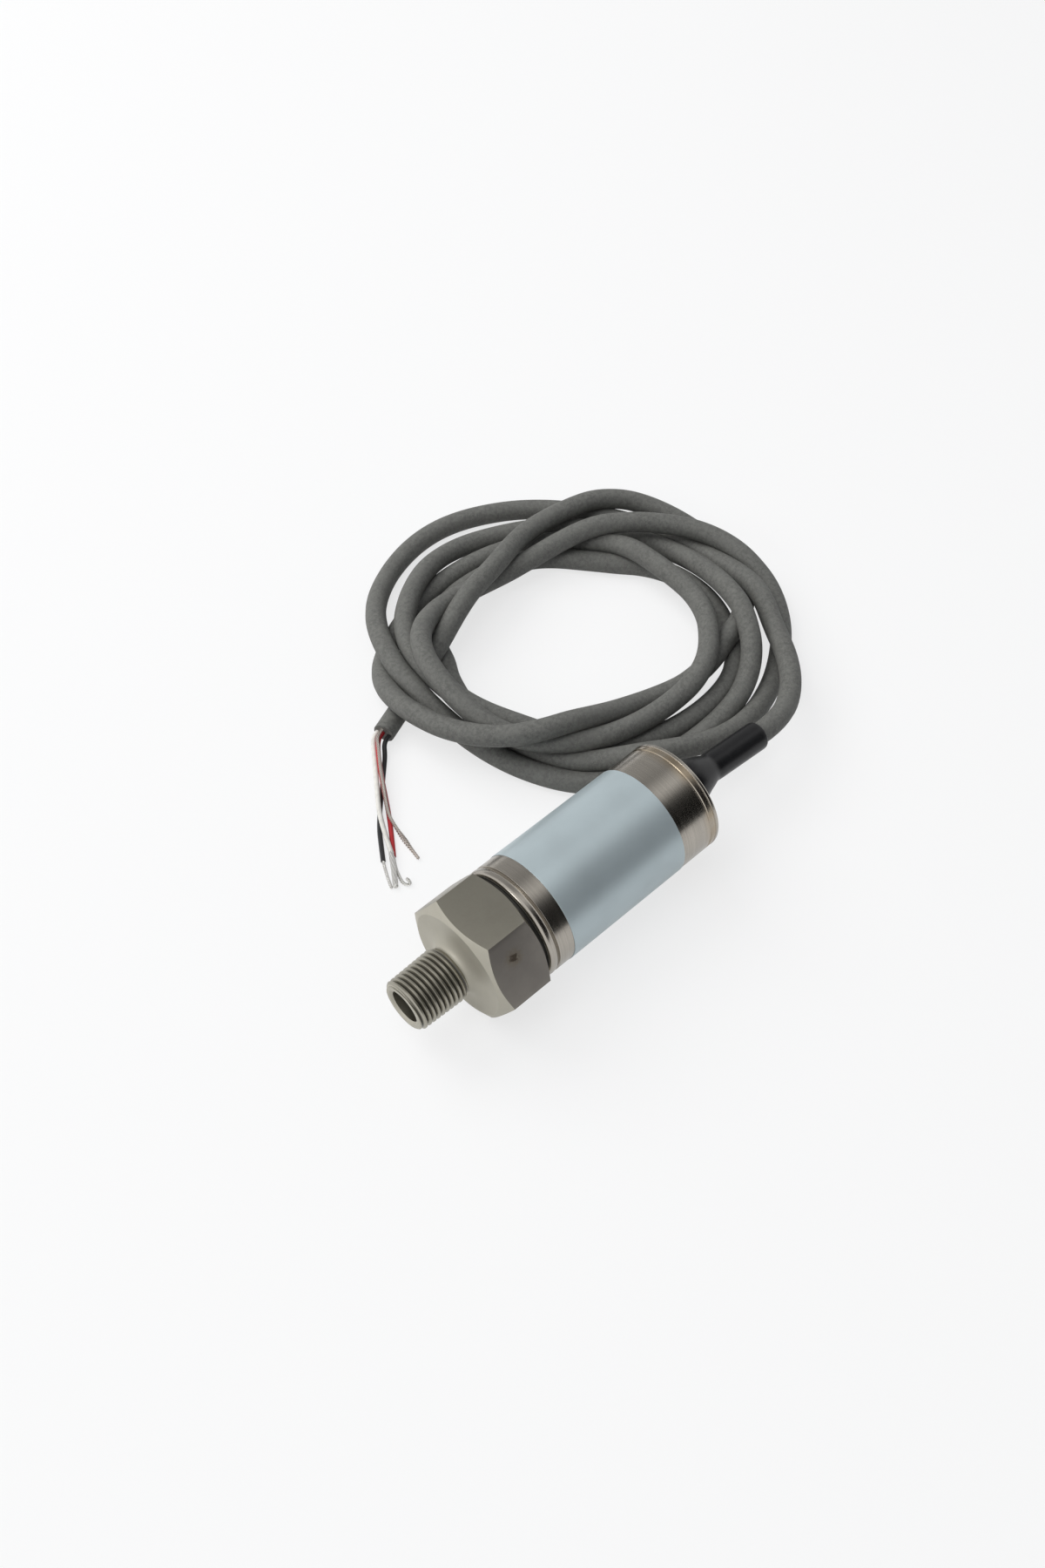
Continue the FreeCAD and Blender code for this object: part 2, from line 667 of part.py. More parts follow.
def wires():
    """The three insulated wires with their tinned ends, and the bare drain wire."""
    for label, (aside, height, insulated, bared) in WIRES.items():
        route = out_of_jacket(aside, height) + insulated
        node(made(label + "_run", tube(route, size("wire_diameter"), label)), label)
        end = label.replace("_wire", "_tinned_end")
        route = [insulated[-1]] + bared
        node(made(end + "_run", tube(route, size("strand_diameter"), end)), end)
    aside, height, bare = DRAIN
    route = out_of_jacket(aside, height) + bare
    node(made("drain_run", tube(route, size("drain_diameter"), "drain_wire")), "drain_wire")


# ---------------------------------------------------------------- the whole object

process_fitting()
housing_can()
back_plate()
label()
strain_gauges()
gauge_flex()
spacer("front_spacer", "board_front - 1.1", "board_front")
spacer("rear_spacer", "board_front + board_length - 1.4", "board_front + board_length - 1.4")
circuit_board()
on_board("amplifier_chip", [(6.0, 1.5, 6.0, 0.0, 6.0)])
on_board("regulator_chip", [(4.0, 1.4, 3.6, 4.6, 14.5)])
on_board("capacitors", [(1.6, 1.0, 3.2, -5.5, 4.5), (1.6, 1.0, 3.2, -5.5, 9.0), (2.6, 1.6, 2.6, -1.6, 14.4)])
on_board("resistors", [(0.9, 0.5, 1.8, x, 4.6 + 3.0 * i) for i in range(3) for x in (5.6, 7.2)])
ground_clip()
root = cable_root()
crimp_ring()
cable_sleeve(cable_grommet(root), root)
inner_leads()
free_cable()
wires()
doc.recompute()

for thing in doc.Objects:
    if {"Invalid", "Error"} & set(thing.State):
        raise RuntimeError("%s failed: %s" % (thing.Label, thing.State))
for piece in nodes:
    shape = piece.Shape
    if shape.isNull() or not shape.isValid() or not shape.Solids:
        raise RuntimeError("%s has no valid solid" % piece.Label)

os.makedirs("parts", exist_ok=True)
for piece in nodes:
    piece.Shape.exportStep(os.path.join("parts", piece.Label + ".step"))
print("%d pieces" % len(nodes))
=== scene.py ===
import math

import bmesh
import bpy
import numpy as np
from bpy.props import FloatProperty, FloatVectorProperty, IntProperty, PointerProperty
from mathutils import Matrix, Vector


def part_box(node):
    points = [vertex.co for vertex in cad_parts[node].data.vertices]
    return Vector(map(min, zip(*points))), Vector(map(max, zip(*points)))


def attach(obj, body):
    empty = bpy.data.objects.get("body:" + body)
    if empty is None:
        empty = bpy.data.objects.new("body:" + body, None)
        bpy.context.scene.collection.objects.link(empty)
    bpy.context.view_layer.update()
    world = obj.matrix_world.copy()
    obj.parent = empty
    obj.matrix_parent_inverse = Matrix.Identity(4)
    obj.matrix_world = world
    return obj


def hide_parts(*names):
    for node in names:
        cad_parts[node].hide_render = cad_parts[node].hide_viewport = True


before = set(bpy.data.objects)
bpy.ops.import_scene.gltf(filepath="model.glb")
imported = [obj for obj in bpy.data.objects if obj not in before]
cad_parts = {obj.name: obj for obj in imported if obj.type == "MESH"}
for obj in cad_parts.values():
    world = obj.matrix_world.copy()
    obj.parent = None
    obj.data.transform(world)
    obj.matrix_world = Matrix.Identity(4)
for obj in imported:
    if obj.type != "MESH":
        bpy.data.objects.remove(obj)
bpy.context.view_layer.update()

bl_info = {
    "name": "Pressure transmitter",
    "version": (1, 0, 0),
    "blender": (4, 5, 0),
    "location": "View3D > Sidebar > Transmitter",
    "description": "Dresses a cabled pressure transmitter: fitting, can, label, sleeve, cable and wires",
    "category": "Object",
}

# Places on the transmitter are given in millimetres: "along" from the port's mouth, and out from
# the axis. The frame says where the mouth and the axis are.

MM = 0.001
FITTING_LOW, FITTING_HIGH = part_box("process_fitting")
CAN_LOW, CAN_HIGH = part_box("housing_can")
LABEL_LOW, LABEL_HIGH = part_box("label")
GROMMET_LOW, GROMMET_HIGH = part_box("cable_grommet")
SLEEVE_LOW, SLEEVE_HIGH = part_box("cable_sleeve")

MOUTH = FITTING_LOW.x / MM
AXIS = (FITTING_LOW.z + FITTING_HIGH.z) / 2 / MM
HEX_FLATS = (FITTING_HIGH.z - FITTING_LOW.z) / MM
CAN_FRONT = CAN_LOW.x / MM - MOUTH
CAN_BACK = CAN_HIGH.x / MM - MOUTH
CAN_RADIUS = (CAN_HIGH.y - CAN_LOW.y) / 2 / MM
LABEL_FRONT = LABEL_LOW.x / MM - MOUTH
LABEL_BACK = LABEL_HIGH.x / MM - MOUTH
GROMMET_BACK = GROMMET_HIGH.x / MM - MOUTH


# ---------------------------------------------------------------- shader expressions

class Value:
    """A node's output that takes part in Python expressions."""

    def __init__(self, finish, socket):
        self.finish, self.socket = finish, socket

    def math(self, operation, other=None, swap=False, clamp=False):
        ends = (other, self) if swap else (self, other)
        sockets = {i: end for i, end in enumerate(ends) if end is not None}
        return self.finish.add("ShaderNodeMath", {"operation": operation, "use_clamp": clamp}, sockets)

    def __add__(self, other):
        return self.math("ADD", other)

    def __radd__(self, other):
        return self.math("ADD", other, True)

    def __sub__(self, other):
        return self.math("SUBTRACT", other)

    def __rsub__(self, other):
        return self.math("SUBTRACT", other, True)

    def __mul__(self, other):
        return self.math("MULTIPLY", other)

    def __truediv__(self, other):
        return self.math("DIVIDE", other)

    def __pow__(self, other):
        return self.math("POWER", other)

    def __lt__(self, other):
        return self.math("LESS_THAN", other)

    def __gt__(self, other):
        return self.math("GREATER_THAN", other)

    def clamped(self):
        return self.math("ADD", 0.0, clamp=True)


class Finish:
    """A material under construction, its surface one Principled shader."""

    def __init__(self, name, **constants):
        self.material = bpy.data.materials.new(name)
        self.material.use_nodes = True
        self.nodes = self.material.node_tree.nodes
        self.links = self.material.node_tree.links
        self.shader = next(n for n in self.nodes if n.type == "BSDF_PRINCIPLED")
        for socket, value in constants.items():
            self.shader.inputs[socket.replace("_", " ")].default_value = value

    def add(self, kind, settings=None, sockets=None, out=0):
        """One node: its settings first, then its sockets' values or links."""
        node = self.nodes.new(kind)
        for name, setting in (settings or {}).items():
            if name == "stops":
                self.stops(node.color_ramp, setting)
            else:
                setattr(node, name, setting)
        for name, value in (sockets or {}).items():
            self.feed(node.inputs[name], value)
        return Value(self, node.outputs[out])

    def feed(self, socket, value):
        if isinstance(value, Value):
            self.links.new(value.socket, socket)
        else:
            socket.default_value = value

    def stops(self, ramp, stops):
        while len(ramp.elements) < len(stops):
            ramp.elements.new(1.0)
        for element, (place, shade) in zip(ramp.elements, stops):
            element.position = place
            element.color = shade if hasattr(shade, "__len__") else (shade, shade, shade, 1)

    def place(self):
        """Where a point lies in the object's frame, in metres."""
        return self.add("ShaderNodeTexCoord", out="Object")

    def parts(self, vector):
        """A vector's three numbers."""
        split = self.add("ShaderNodeSeparateXYZ", sockets={"Vector": vector})
        return [Value(self, s) for s in split.socket.node.outputs]

    def vector(self, x=0.0, y=0.0, z=0.0):
        return self.add("ShaderNodeCombineXYZ", sockets={"X": x, "Y": y, "Z": z})

    def noise(self, vector, scale, detail=3.0, rough=0.5, out="Fac"):
        return self.add("ShaderNodeTexNoise", sockets={
            "Vector": vector, "Scale": scale, "Detail": detail, "Roughness": rough}, out=out)

    def ramp(self, value, *stops):
        return self.add("ShaderNodeValToRGB", {"stops": stops}, {"Fac": value})

    def step(self, value, low, high):
        """0 below low, 1 above high and smooth between."""
        return self.add("ShaderNodeMapRange", {"interpolation_type": "SMOOTHSTEP"}, {
            "Value": value, "From Min": low, "From Max": high})

    def blend(self, factor, first, second, how="MIX"):
        """Two colours mixed by a factor."""
        settings = {"data_type": "RGBA", "blend_type": how}
        mixer = self.add("ShaderNodeMix", settings, {0: factor, 6: first, 7: second})
        return Value(self, mixer.socket.node.outputs[2])

    def bump(self, height, distance, strength=1.0, normal=None):
        sockets = {"Height": height, "Distance": distance, "Strength": strength}
        if normal is not None:
            sockets["Normal"] = normal
        return self.add("ShaderNodeBump", sockets=sockets)

    def done(self, **inputs):
        """Links what varies to the shader, and gives the material."""
        for name, value in inputs.items():
            self.feed(self.shader.inputs[name.replace("_", " ")], value)
        return self.material


class Backdrop(Finish):
    """The world's shader, built in the same words as a material."""

    def __init__(self, world):
        self.nodes, self.links = world.node_tree.nodes, world.node_tree.links


def shade(colour, factor=1.0):
    """A colour property as a shader colour, lighter or darker by a factor."""
    return tuple(min(c * factor, 1.0) for c in colour) + (1.0,)


# ---------------------------------------------------------------- meshes and pieces

def piece(name, mesh, material, replaces=(), smooth=30.0):
    """A mesh as a piece that rides on the object."""
    mesh.validate()
    mesh.materials.append(material)
    mesh.shade_smooth()
    mesh.set_sharp_from_angle(angle=math.radians(smooth))
    thing = bpy.data.objects.new(name, mesh)
    return fitted(thing, replaces)


def fitted(thing, replaces=()):
    bpy.context.scene.collection.objects.link(thing)
    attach(thing, "root")
    if replaces:
        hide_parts(*replaces)
    return thing


def mesh_from(name, points, faces):
    """A mesh from points in millimetres, with doubled points joined and its faces turned outwards."""
    mesh = bpy.data.meshes.new(name)
    mesh.from_pydata([tuple(c * MM for c in p) for p in points], [], faces)
    work = bmesh.new()
    work.from_mesh(mesh)
    bmesh.ops.remove_doubles(work, verts=work.verts, dist=0.001 * MM)
    bmesh.ops.dissolve_degenerate(work, edges=work.edges, dist=0.0005 * MM)
    bmesh.ops.recalc_face_normals(work, faces=work.faces)
    work.to_mesh(mesh)
    work.free()
    return mesh


def on_axis(along, out, angle):
    """The point at a distance along and out from the transmitter's axis, in millimetres."""
    return (MOUTH + along, out * math.cos(angle), AXIS + out * math.sin(angle))


def rounded(corners, steps=5):
    """A section's corners as points: each is (along, out) or (along, out, rounding)."""
    points = []
    for i, corner in enumerate(corners):
        here = Vector(corner[:2])
        if len(corner) < 3:
            points.append(here)
            continue
        arriving = (Vector(corners[i - 1][:2]) - here).normalized()
        leaving = (Vector(corners[(i + 1) % len(corners)][:2]) - here).normalized()
        half = arriving.angle(leaving) / 2
        reach = corner[2] / math.tan(half)
        middle = (arriving + leaving).normalized() * corner[2] / math.sin(half)
        first, last = here + arriving * reach - (here + middle), here + leaving * reach - (here + middle)
        for step in range(steps + 1):
            turn = first.lerp(last, step / steps).normalized()
            points.append(here + middle + turn * corner[2])
    return [tuple(p) for p in points]


def spun(name, section, columns=192):
    """A closed section turned about the transmitter's axis."""
    angles = [2 * math.pi * c / columns for c in range(columns)]
    points = [on_axis(along, out, a) for along, out in section for a in angles]
    return mesh_from(name, points, grid(len(section), columns, closed_rows=True))


def grid(rows, columns, closed_rows=False):
    """Quads over rows of points that each go right round, the rows in a ring too where closed."""
    faces = []
    for r in range(rows if closed_rows else rows - 1):
        for c in range(columns):
            here, beyond = r * columns, (r + 1) % rows * columns
            after = (c + 1) % columns
            faces.append((here + c, beyond + c, beyond + after, here + after))
    return faces


# ---------------------------------------------------------------- process fitting

HEX_FRONT, HEX_BACK = 12.0, 22.5
HEX_FACE, HEX_BACK_FACE = 10.4, 11.0
CHAMFER = math.tan(math.radians(30))
CORNER_LIMIT = HEX_FLATS / math.sqrt(3) - 0.03
THREAD_TIP, THREAD_END = 4.9, 10.4
THREAD_PITCH, THREAD_DEPTH = 0.9407, 0.66
COLLAR = 9.9
BORE, BORE_DEPTH = 3.1, 27.8
SHOULDER = 8.2
SPIGOT_BACK, SPIGOT_GAP = 26.4, 0.65
BOSS_RADIUS, BOSS_BACK = 4.8, 28.4
RUST_SPOT = (-26.7, -8.6, 18.4)
RUST, RUST_HALO = (0.035, 0.02, 0.008, 1), (0.16, 0.12, 0.06, 1)
# Painted shade: the near-black colour put on the collar between hexagon and can, and the dark colour put in the
# thread's roots.
COLLAR_SHADE, THREAD_ROOT_SHADE = (0.012, 0.011, 0.01, 1), (0.03, 0.027, 0.022, 1)


def hexagon(angle):
    """How far out the hexagon's flat lies in one direction."""
    off = (angle + math.pi / 6) % (math.pi / 3) - math.pi / 6
    return min(HEX_FLATS / 2 / math.cos(math.pi / 6 - abs(off)), CORNER_LIMIT)


def thread_row(turn, share, height, columns):
    """One line along the thread's helix: turn and share of the pitch, and height above the root."""
    row = []
    for c in range(columns):
        along = (turn + share + c / columns) * THREAD_PITCH
        along = min(max(along, 0.0), THREAD_END)
        root = THREAD_TIP + along / 32 - THREAD_DEPTH
        fade = min(1.0, along / 0.6, (THREAD_END - along) / 1.1)
        row.append((along, root + THREAD_DEPTH * height * fade))
    return row


def process_fitting_mesh():
    """Thread, run-out, hexagon, undercut, spigot and bore as one turned and milled piece."""
    columns = 192
    angles = [2 * math.pi * c / columns for c in range(columns)]
    rows = []
    crest = [(0.0, 0.0), (0.1, 0.1), (0.36, 0.92), (0.42, 1.0), (0.68, 1.0), (0.74, 0.92), (0.94, 0.1)]
    for turn in range(-1, int(THREAD_END / THREAD_PITCH) + 1):
        for share, height in crest:
            rows.append(thread_row(turn, share, height, columns))
    root = THREAD_TIP + THREAD_END / 32 - THREAD_DEPTH
    rows.append([(THREAD_END, root)] * columns)
    for step in range(1, 11):
        turn = math.radians(9 * step)
        rows.append([(THREAD_END + (HEX_FRONT - THREAD_END) * math.sin(turn),
                      root + (SHOULDER - root) * (1 - math.cos(turn)))] * columns)
    rows.append([(HEX_FRONT, HEX_FACE - 0.05)] * columns)
    back_cone = HEX_FLATS / math.sqrt(3) - HEX_BACK_FACE
    for edge in (-0.06, 0.0, 0.06):
        row = []
        for a in angles:
            out = hexagon(a)
            along = HEX_FRONT + (out - HEX_FACE) * CHAMFER
            sunk = 0.0 if edge else 0.015
            row.append((along + edge * (1.0 if edge > 0 else CHAMFER), out + min(edge, 0.0) - sunk))
        rows.append(row)
    for edge in (-0.05, 0.0, 0.05):
        row = []
        for a in angles:
            out = hexagon(a)
            along = HEX_BACK - max(out - HEX_BACK_FACE, 0.0) * CHAMFER
            sunk = 0.0 if edge else 0.012
            row.append((along + edge * (1.0 if edge < 0 else CHAMFER), out - max(edge, 0.0) - sunk))
        rows.append(row)
    for along, out in (
        (HEX_BACK, HEX_BACK_FACE - 0.1), (HEX_BACK, COLLAR + 0.15), (HEX_BACK + 0.15, COLLAR),
        (CAN_FRONT, COLLAR), (CAN_FRONT, CAN_RADIUS - SPIGOT_GAP), (SPIGOT_BACK, CAN_RADIUS - SPIGOT_GAP),
        (SPIGOT_BACK, BOSS_RADIUS), (BOSS_BACK, BOSS_RADIUS), (BOSS_BACK, 0.0),
    ):
        rows.append([(along, out)] * columns)
    inside = [(BORE_DEPTH, 0.0), (BORE_DEPTH, BORE), (0.4, BORE), (0.12, BORE + 0.3), (0.0, BORE + 0.46)]
    outer = mesh_points(rows, angles)
    inner = mesh_points([[p] * columns for p in inside], angles)
    lip = mesh_points([[(0.0, THREAD_TIP - THREAD_DEPTH)] * columns], angles)
    faces = grid(len(rows), columns)
    shift = len(outer)
    faces += [tuple(i + shift for i in f) for f in grid(len(inside) + 1, columns)]
    return mesh_from("process_fitting", outer + inner + lip, faces)


def mesh_points(rows, angles):
    return [on_axis(*place, a) for row in rows for place, a in zip(row, angles)]


def machined_steel(colours):
    """Turned and milled stainless steel: satin front, painted shade on the top flat, the near flats, the
    thread's roots and the collar, and one rust spot.
    """
    f = Finish("machined_steel")
    place = f.place()
    x, y, z = f.parts(place)
    facing, aside, up = f.parts(f.add("ShaderNodeNewGeometry", out="Normal"))
    stain = f.noise(place, 180, 4, 0.6)
    fine = f.noise(place, 2600, 2)
    marks = f.noise(f.vector(x * 5000, y * 320, z * 320), 1.0, 3, 0.6)
    out = (y * y + (z - AXIS * MM) * (z - AXIS * MM)) ** 0.5
    along = x - MOUTH * MM
    on_thread = (along > 0.35 * MM) * (along < (THREAD_END - 0.3) * MM) * (out > (BORE + 0.5) * MM)
    height = (out - along / 32 - (THREAD_TIP - THREAD_DEPTH) * MM) / (THREAD_DEPTH * MM)
    # Painted shade: the thread's roots are darkened, where shade falls between the flanks.
    root_shade = on_thread * (1.0 - f.step(height, 0.05, 0.6))
    front = f.step(0.0 - facing, 0.2, 0.55) * (1.0 - on_thread)
    milled = (along > HEX_FRONT * MM) * (along < HEX_BACK * MM) * (1.0 - front)
    # Painted shade: the two flats that face the near side are darkened, standing in for the dark reflection
    # they show.
    near_flat_shade = milled * f.step(0.0 - aside, 0.7, 0.85)
    # Painted shade: the flat that faces up is darkened.
    top = milled * f.step(up, 0.9, 0.97)
    # Painted shade: the collar between the hexagon and the can is darkened to near black and loses most of its
    # metal sheen, where shade falls between the two.
    collar_shade = (along > (HEX_BACK + 0.05) * MM) * (along < (CAN_FRONT + 0.05) * MM)
    steel = colours.fitting_steel
    colour = f.blend(f.step(stain, 0.42, 0.7) * 0.4, shade(steel), shade(steel, 0.78))
    colour = f.blend(fine * 0.2, colour, shade(steel, 0.6))
    # Painted shade on the top flat.
    colour = f.blend(top * 0.22, colour, shade(steel, 0.62))
    # Painted shade on the near flats.
    colour = f.blend(near_flat_shade * (0.75 + stain * 0.3), colour, shade(colours.near_flat_shade))
    colour = f.blend(front * 0.6, colour, shade(steel, 1.25))
    # Painted shade in the thread's roots.
    colour = f.blend(root_shade * 0.85, colour, THREAD_ROOT_SHADE)
    away = f.add("ShaderNodeVectorMath", {"operation": "DISTANCE"}, {
        0: place, 1: tuple(c * MM for c in RUST_SPOT)}, "Value")
    ragged = away + (f.noise(place, 1500, 3) - 0.5) * 0.0022
    rust = 1.0 - f.step(ragged, 0.0004, 0.0009)
    halo = 1.0 - f.step(ragged, 0.0008, 0.0022)
    colour = f.blend(halo * 0.3, colour, RUST_HALO)
    colour = f.blend(rust * 0.9, colour, RUST)
    # Painted shade on the collar between hexagon and can.
    colour = f.blend(collar_shade * 0.93, colour, COLLAR_SHADE)
    return f.done(
        Base_Color=colour,
        Metallic=1.0 - front * 0.4 - rust * 0.7 - collar_shade * 0.7 - root_shade * 0.4,
        Roughness=0.27 + stain * 0.14 + marks * 0.06 + front * 0.16 + rust * 0.3,
        Normal=f.bump(marks * 0.6 + fine * 0.4 - rust * 3.0, 0.00001, 0.35),
    )


# ---------------------------------------------------------------- can, label and end plate

CAN_WALL, CAN_LIP = 0.6, 8.8
LABEL_WRAP, LABEL_THICK = math.radians(338), 0.08
PLATE_FRONT, PLATE_HOLE, PLATE_GAP = 62.25, 3.85, 0.62


def can_mesh():
    """The can: front bead, turned lines near both ends, and the rim rolled over the end plate."""
    inner = CAN_RADIUS - CAN_WALL
    bead = [(CAN_FRONT + 0.95 - 0.85 * math.cos(t), CAN_RADIUS - 0.5 + 0.5 * math.sin(t))
            for t in (math.radians(9 * step) for step in range(2, 19))]
    section = [(CAN_FRONT + 0.1, inner)] + bead + rounded([
        (CAN_FRONT + 1.9, CAN_RADIUS - 0.42),
        (CAN_FRONT + 2.0, CAN_RADIUS - 0.42),
        (CAN_FRONT + 2.12, CAN_RADIUS - 0.03, 0.06),
        (CAN_BACK - 2.3, CAN_RADIUS - 0.03, 0.1),
        (CAN_BACK - 2.15, CAN_RADIUS - 0.17, 0.04),
        (CAN_BACK - 2.0, CAN_RADIUS - 0.17, 0.04),
        (CAN_BACK - 1.85, CAN_RADIUS - 0.03, 0.1),
        (CAN_BACK - 0.95, CAN_RADIUS - 0.05, 0.1),
        (CAN_BACK - 0.82, CAN_RADIUS - 0.2, 0.05),
        (CAN_BACK - 0.7, CAN_RADIUS - 0.02, 0.1),
        (CAN_BACK, CAN_RADIUS, 0.34),
        (CAN_BACK, CAN_LIP, 0.2),
        (CAN_BACK - 0.7, CAN_LIP),
        (CAN_BACK - 0.7, inner),
        (CAN_FRONT + 0.1, inner),
    ], 6)[:-1]
    return spun("can_shell", section, 256)


def brushed_can_steel(colours):
    """Thin steel brushed round the can, straw-brown beside the welded rim, with handling marks."""
    f = Finish("brushed_can_steel", Metallic=1.0)
    place = f.place()
    x, y, z = f.parts(place)
    lines = f.noise(f.vector(x * 5200, y * 50, z * 50), 1.0, 2)
    broad = f.noise(f.vector(x * 1500, y * 70, z * 70), 1.0, 3, 0.6)
    cloud = f.noise(place, 130, 4, 0.6)
    back = MOUTH + CAN_BACK
    before_rim = f.step(x, (back - 4.0) * MM, (back - 1.6) * MM)
    on_rim = f.step(x, (back - 0.9) * MM, (back - 0.6) * MM)
    tint = before_rim * (1.0 - on_rim)
    steel = colours.can_steel
    colour = f.blend(broad * 0.4, shade(steel), shade(steel, 0.7))
    colour = f.blend(f.step(lines, 0.45, 0.7) * 0.3, colour, shade(steel, 1.3))
    colour = f.blend(tint * f.step(cloud, 0.25, 0.6) * 0.6, colour, shade(colours.heat_tint))
    scuff = f.step(f.noise(place, 520, 5, 0.7), 0.62, 0.72)
    colour = f.blend(scuff * 0.25, colour, shade(steel, 0.5))
    return f.done(
        Base_Color=colour,
        Roughness=0.15 + broad * 0.12 + cloud * 0.06,
        Normal=f.bump(lines * 0.4 + broad * 0.6, 0.00001, 0.3),
    )


def label_mesh():
    """The foil label wrapped round the can, its two ends apart underneath."""
    columns, edge = 240, 0.03
    base, top = CAN_RADIUS - 0.01, CAN_RADIUS - 0.01 + LABEL_THICK
    section = [
        (LABEL_FRONT, base), (LABEL_FRONT, top - edge), (LABEL_FRONT + edge, top),
        (LABEL_BACK - edge, top), (LABEL_BACK, top - edge), (LABEL_BACK, base),
    ]
    start = -math.pi / 2 + (2 * math.pi - LABEL_WRAP) / 2
    points, faces = [], []
    for c in range(columns + 1):
        angle = start + LABEL_WRAP * c / columns
        points += [on_axis(along, out, angle) for along, out in section]
    around = len(section)
    for c in range(columns):
        for i in range(around):
            j = (i + 1) % around
            faces.append((c * around + i, c * around + j, (c + 1) * around + j, (c + 1) * around + i))
    last = columns * around
    faces += [tuple(range(around)), tuple(last + i for i in range(around))]
    return mesh_from("label_foil", points, faces)


def label_print(colours):
    """Bare metallised foil: pale blue-grey, with a faint cloud and a fine grain."""
    f = Finish("label_print", Metallic=0.5)
    place = f.place()
    cloud = f.noise(place, 90, 3)
    grain = f.noise(place, 3200, 2)
    colour = f.blend(f.step(cloud, 0.35, 0.7) * 0.6, shade(colours.label_foil), shade(colours.label_foil, 0.86))
    return f.done(
        Base_Color=colour,
        Roughness=0.36 + grain * 0.06,
        Normal=f.bump(grain, 0.000004, 0.3),
    )


def end_plate_mesh():
    """The plate behind the can's rolled rim."""
    back, rim = CAN_BACK - 0.72, CAN_RADIUS - PLATE_GAP
    return spun("end_plate", [(PLATE_FRONT, PLATE_HOLE), (PLATE_FRONT, rim), (back, rim), (back, PLATE_HOLE)])


# ---------------------------------------------------------------- cable entry

SLEEVE_SAG = math.radians(7.2)
SLEEVE_RADIUS = 2.85
CABLE_RADIUS = 2.15


def grommet_mesh():
    """The rubber grommet's flange, neck and dome."""
    front, back = CAN_BACK - 0.7, GROMMET_BACK - 1.2
    dome = []
    for step in range(17):
        turn = math.radians(90 * step / 16)
        dome.append((front + (back - front) * math.sin(turn), 2.4 + 2.1 * math.cos(turn) ** 0.6))
    section = [(61.2, 2.2), (61.2, 6.0), (62.2, 6.0), (62.2, 3.8), (front, 3.8)] + dome + [(back, 2.2)]
    return spun("rubber_grommet", section, 128)


def black_rubber(colours):
    f = Finish("black_rubber", Specular_IOR_Level=0.25)
    place = f.place()
    grain = f.noise(place, 2200, 3, 0.6)
    dust = f.step(f.noise(place, 350, 4, 0.6), 0.5, 0.75)
    colour = f.blend(dust * 0.35, shade(colours.rubber), shade(colours.rubber, 2.2))
    return f.done(Base_Color=colour, Roughness=0.42 + dust * 0.2, Normal=f.bump(grain, 0.00002, 0.3))


def sleeve_point(along, out, angle):
    """A point on the sleeve's own axis, which hangs a little below the transmitter's."""
    base = Vector((MOUTH + GROMMET_BACK, 0, AXIS))
    way = Vector((math.cos(SLEEVE_SAG), 0, -math.sin(SLEEVE_SAG)))
    side, up = Vector((0, 1, 0)), Vector((math.sin(SLEEVE_SAG), 0, math.cos(SLEEVE_SAG)))
    return tuple(base + way * along + (side * math.cos(angle) + up * math.sin(angle)) * out)


def sleeve_end():
    """The centre of the sleeve's end face, in millimetres."""
    level = SLEEVE_HIGH.x / MM - MOUTH - GROMMET_BACK - 0.33
    return Vector(sleeve_point(level / math.cos(SLEEVE_SAG), 0, 0))


# The sleeve's outside over the dome and neck: along its own axis from the grommet's back, and out.
SLEEVE_MOUTH = [
    (-5.6, 4.05), (-5.55, 4.25), (-5.3, 4.36), (-4.8, 4.36), (-4.0, 4.28), (-3.2, 4.12), (-2.4, 3.9),
    (-1.6, 3.64), (-0.9, 3.42), (-0.3, 3.2), (0.3, 2.98), (0.8, 2.84), (1.2, 2.8), (1.7, 2.83), (2.4, 2.86),
]


def sleeve_mesh():
    """The heat-shrunk sleeve: flared mouth drawn over the dome, waist, and a turned-in end."""
    end = (sleeve_end() - Vector(sleeve_point(0, 0, 0))).length
    columns = 96
    outline = list(SLEEVE_MOUTH)
    for i in range(12):
        outline.append((3.2 + (end - 0.5 - 3.2) * i / 11, SLEEVE_RADIUS))
    outline += [
        (end - 0.25, SLEEVE_RADIUS - 0.03), (end - 0.08, SLEEVE_RADIUS - 0.12), (end, SLEEVE_RADIUS - 0.3),
        (end, CABLE_RADIUS - 0.05), (-1.0, CABLE_RADIUS - 0.05), (-2.5, 3.2), (-5.0, 3.9),
    ]
    angles = [2 * math.pi * c / columns for c in range(columns)]
    points = [sleeve_point(along, out, a) for along, out in outline for a in angles]
    return mesh_from("shrink_sleeve", points, grid(len(outline), columns, closed_rows=True))


def shrink_sleeve_finish(colours):
    f = Finish("shrink_sleeve", Specular_IOR_Level=0.3, Coat_Weight=0.05, Coat_Roughness=0.3)
    place = f.place()
    x, y, z = f.parts(place)
    wrinkle = f.noise(f.vector(x * 260, y * 900, z * 900), 1.0, 3)
    dust = f.step(f.noise(place, 500, 4, 0.6), 0.55, 0.8)
    colour = f.blend(dust * 0.3, shade(colours.sleeve), shade(colours.sleeve, 2.5))
    return f.done(Base_Color=colour, Roughness=0.32 + dust * 0.2, Normal=f.bump(wrinkle, 0.00004, 0.35))


# ---------------------------------------------------------------- cable

# The lead from the sleeve to the coil, and the way out to the free end, in millimetres.
LEAD_STRAIGHT = 7.0
LEAD_RUNS = [(58.0, 3.9, 7.6), (64.0, 10.2, 7.0), (68.4, 17.8, 6.6)]
TAIL_START, CUT_END = (5.0, 56.7, 2.15), (-4.8, 52.8, 2.15)

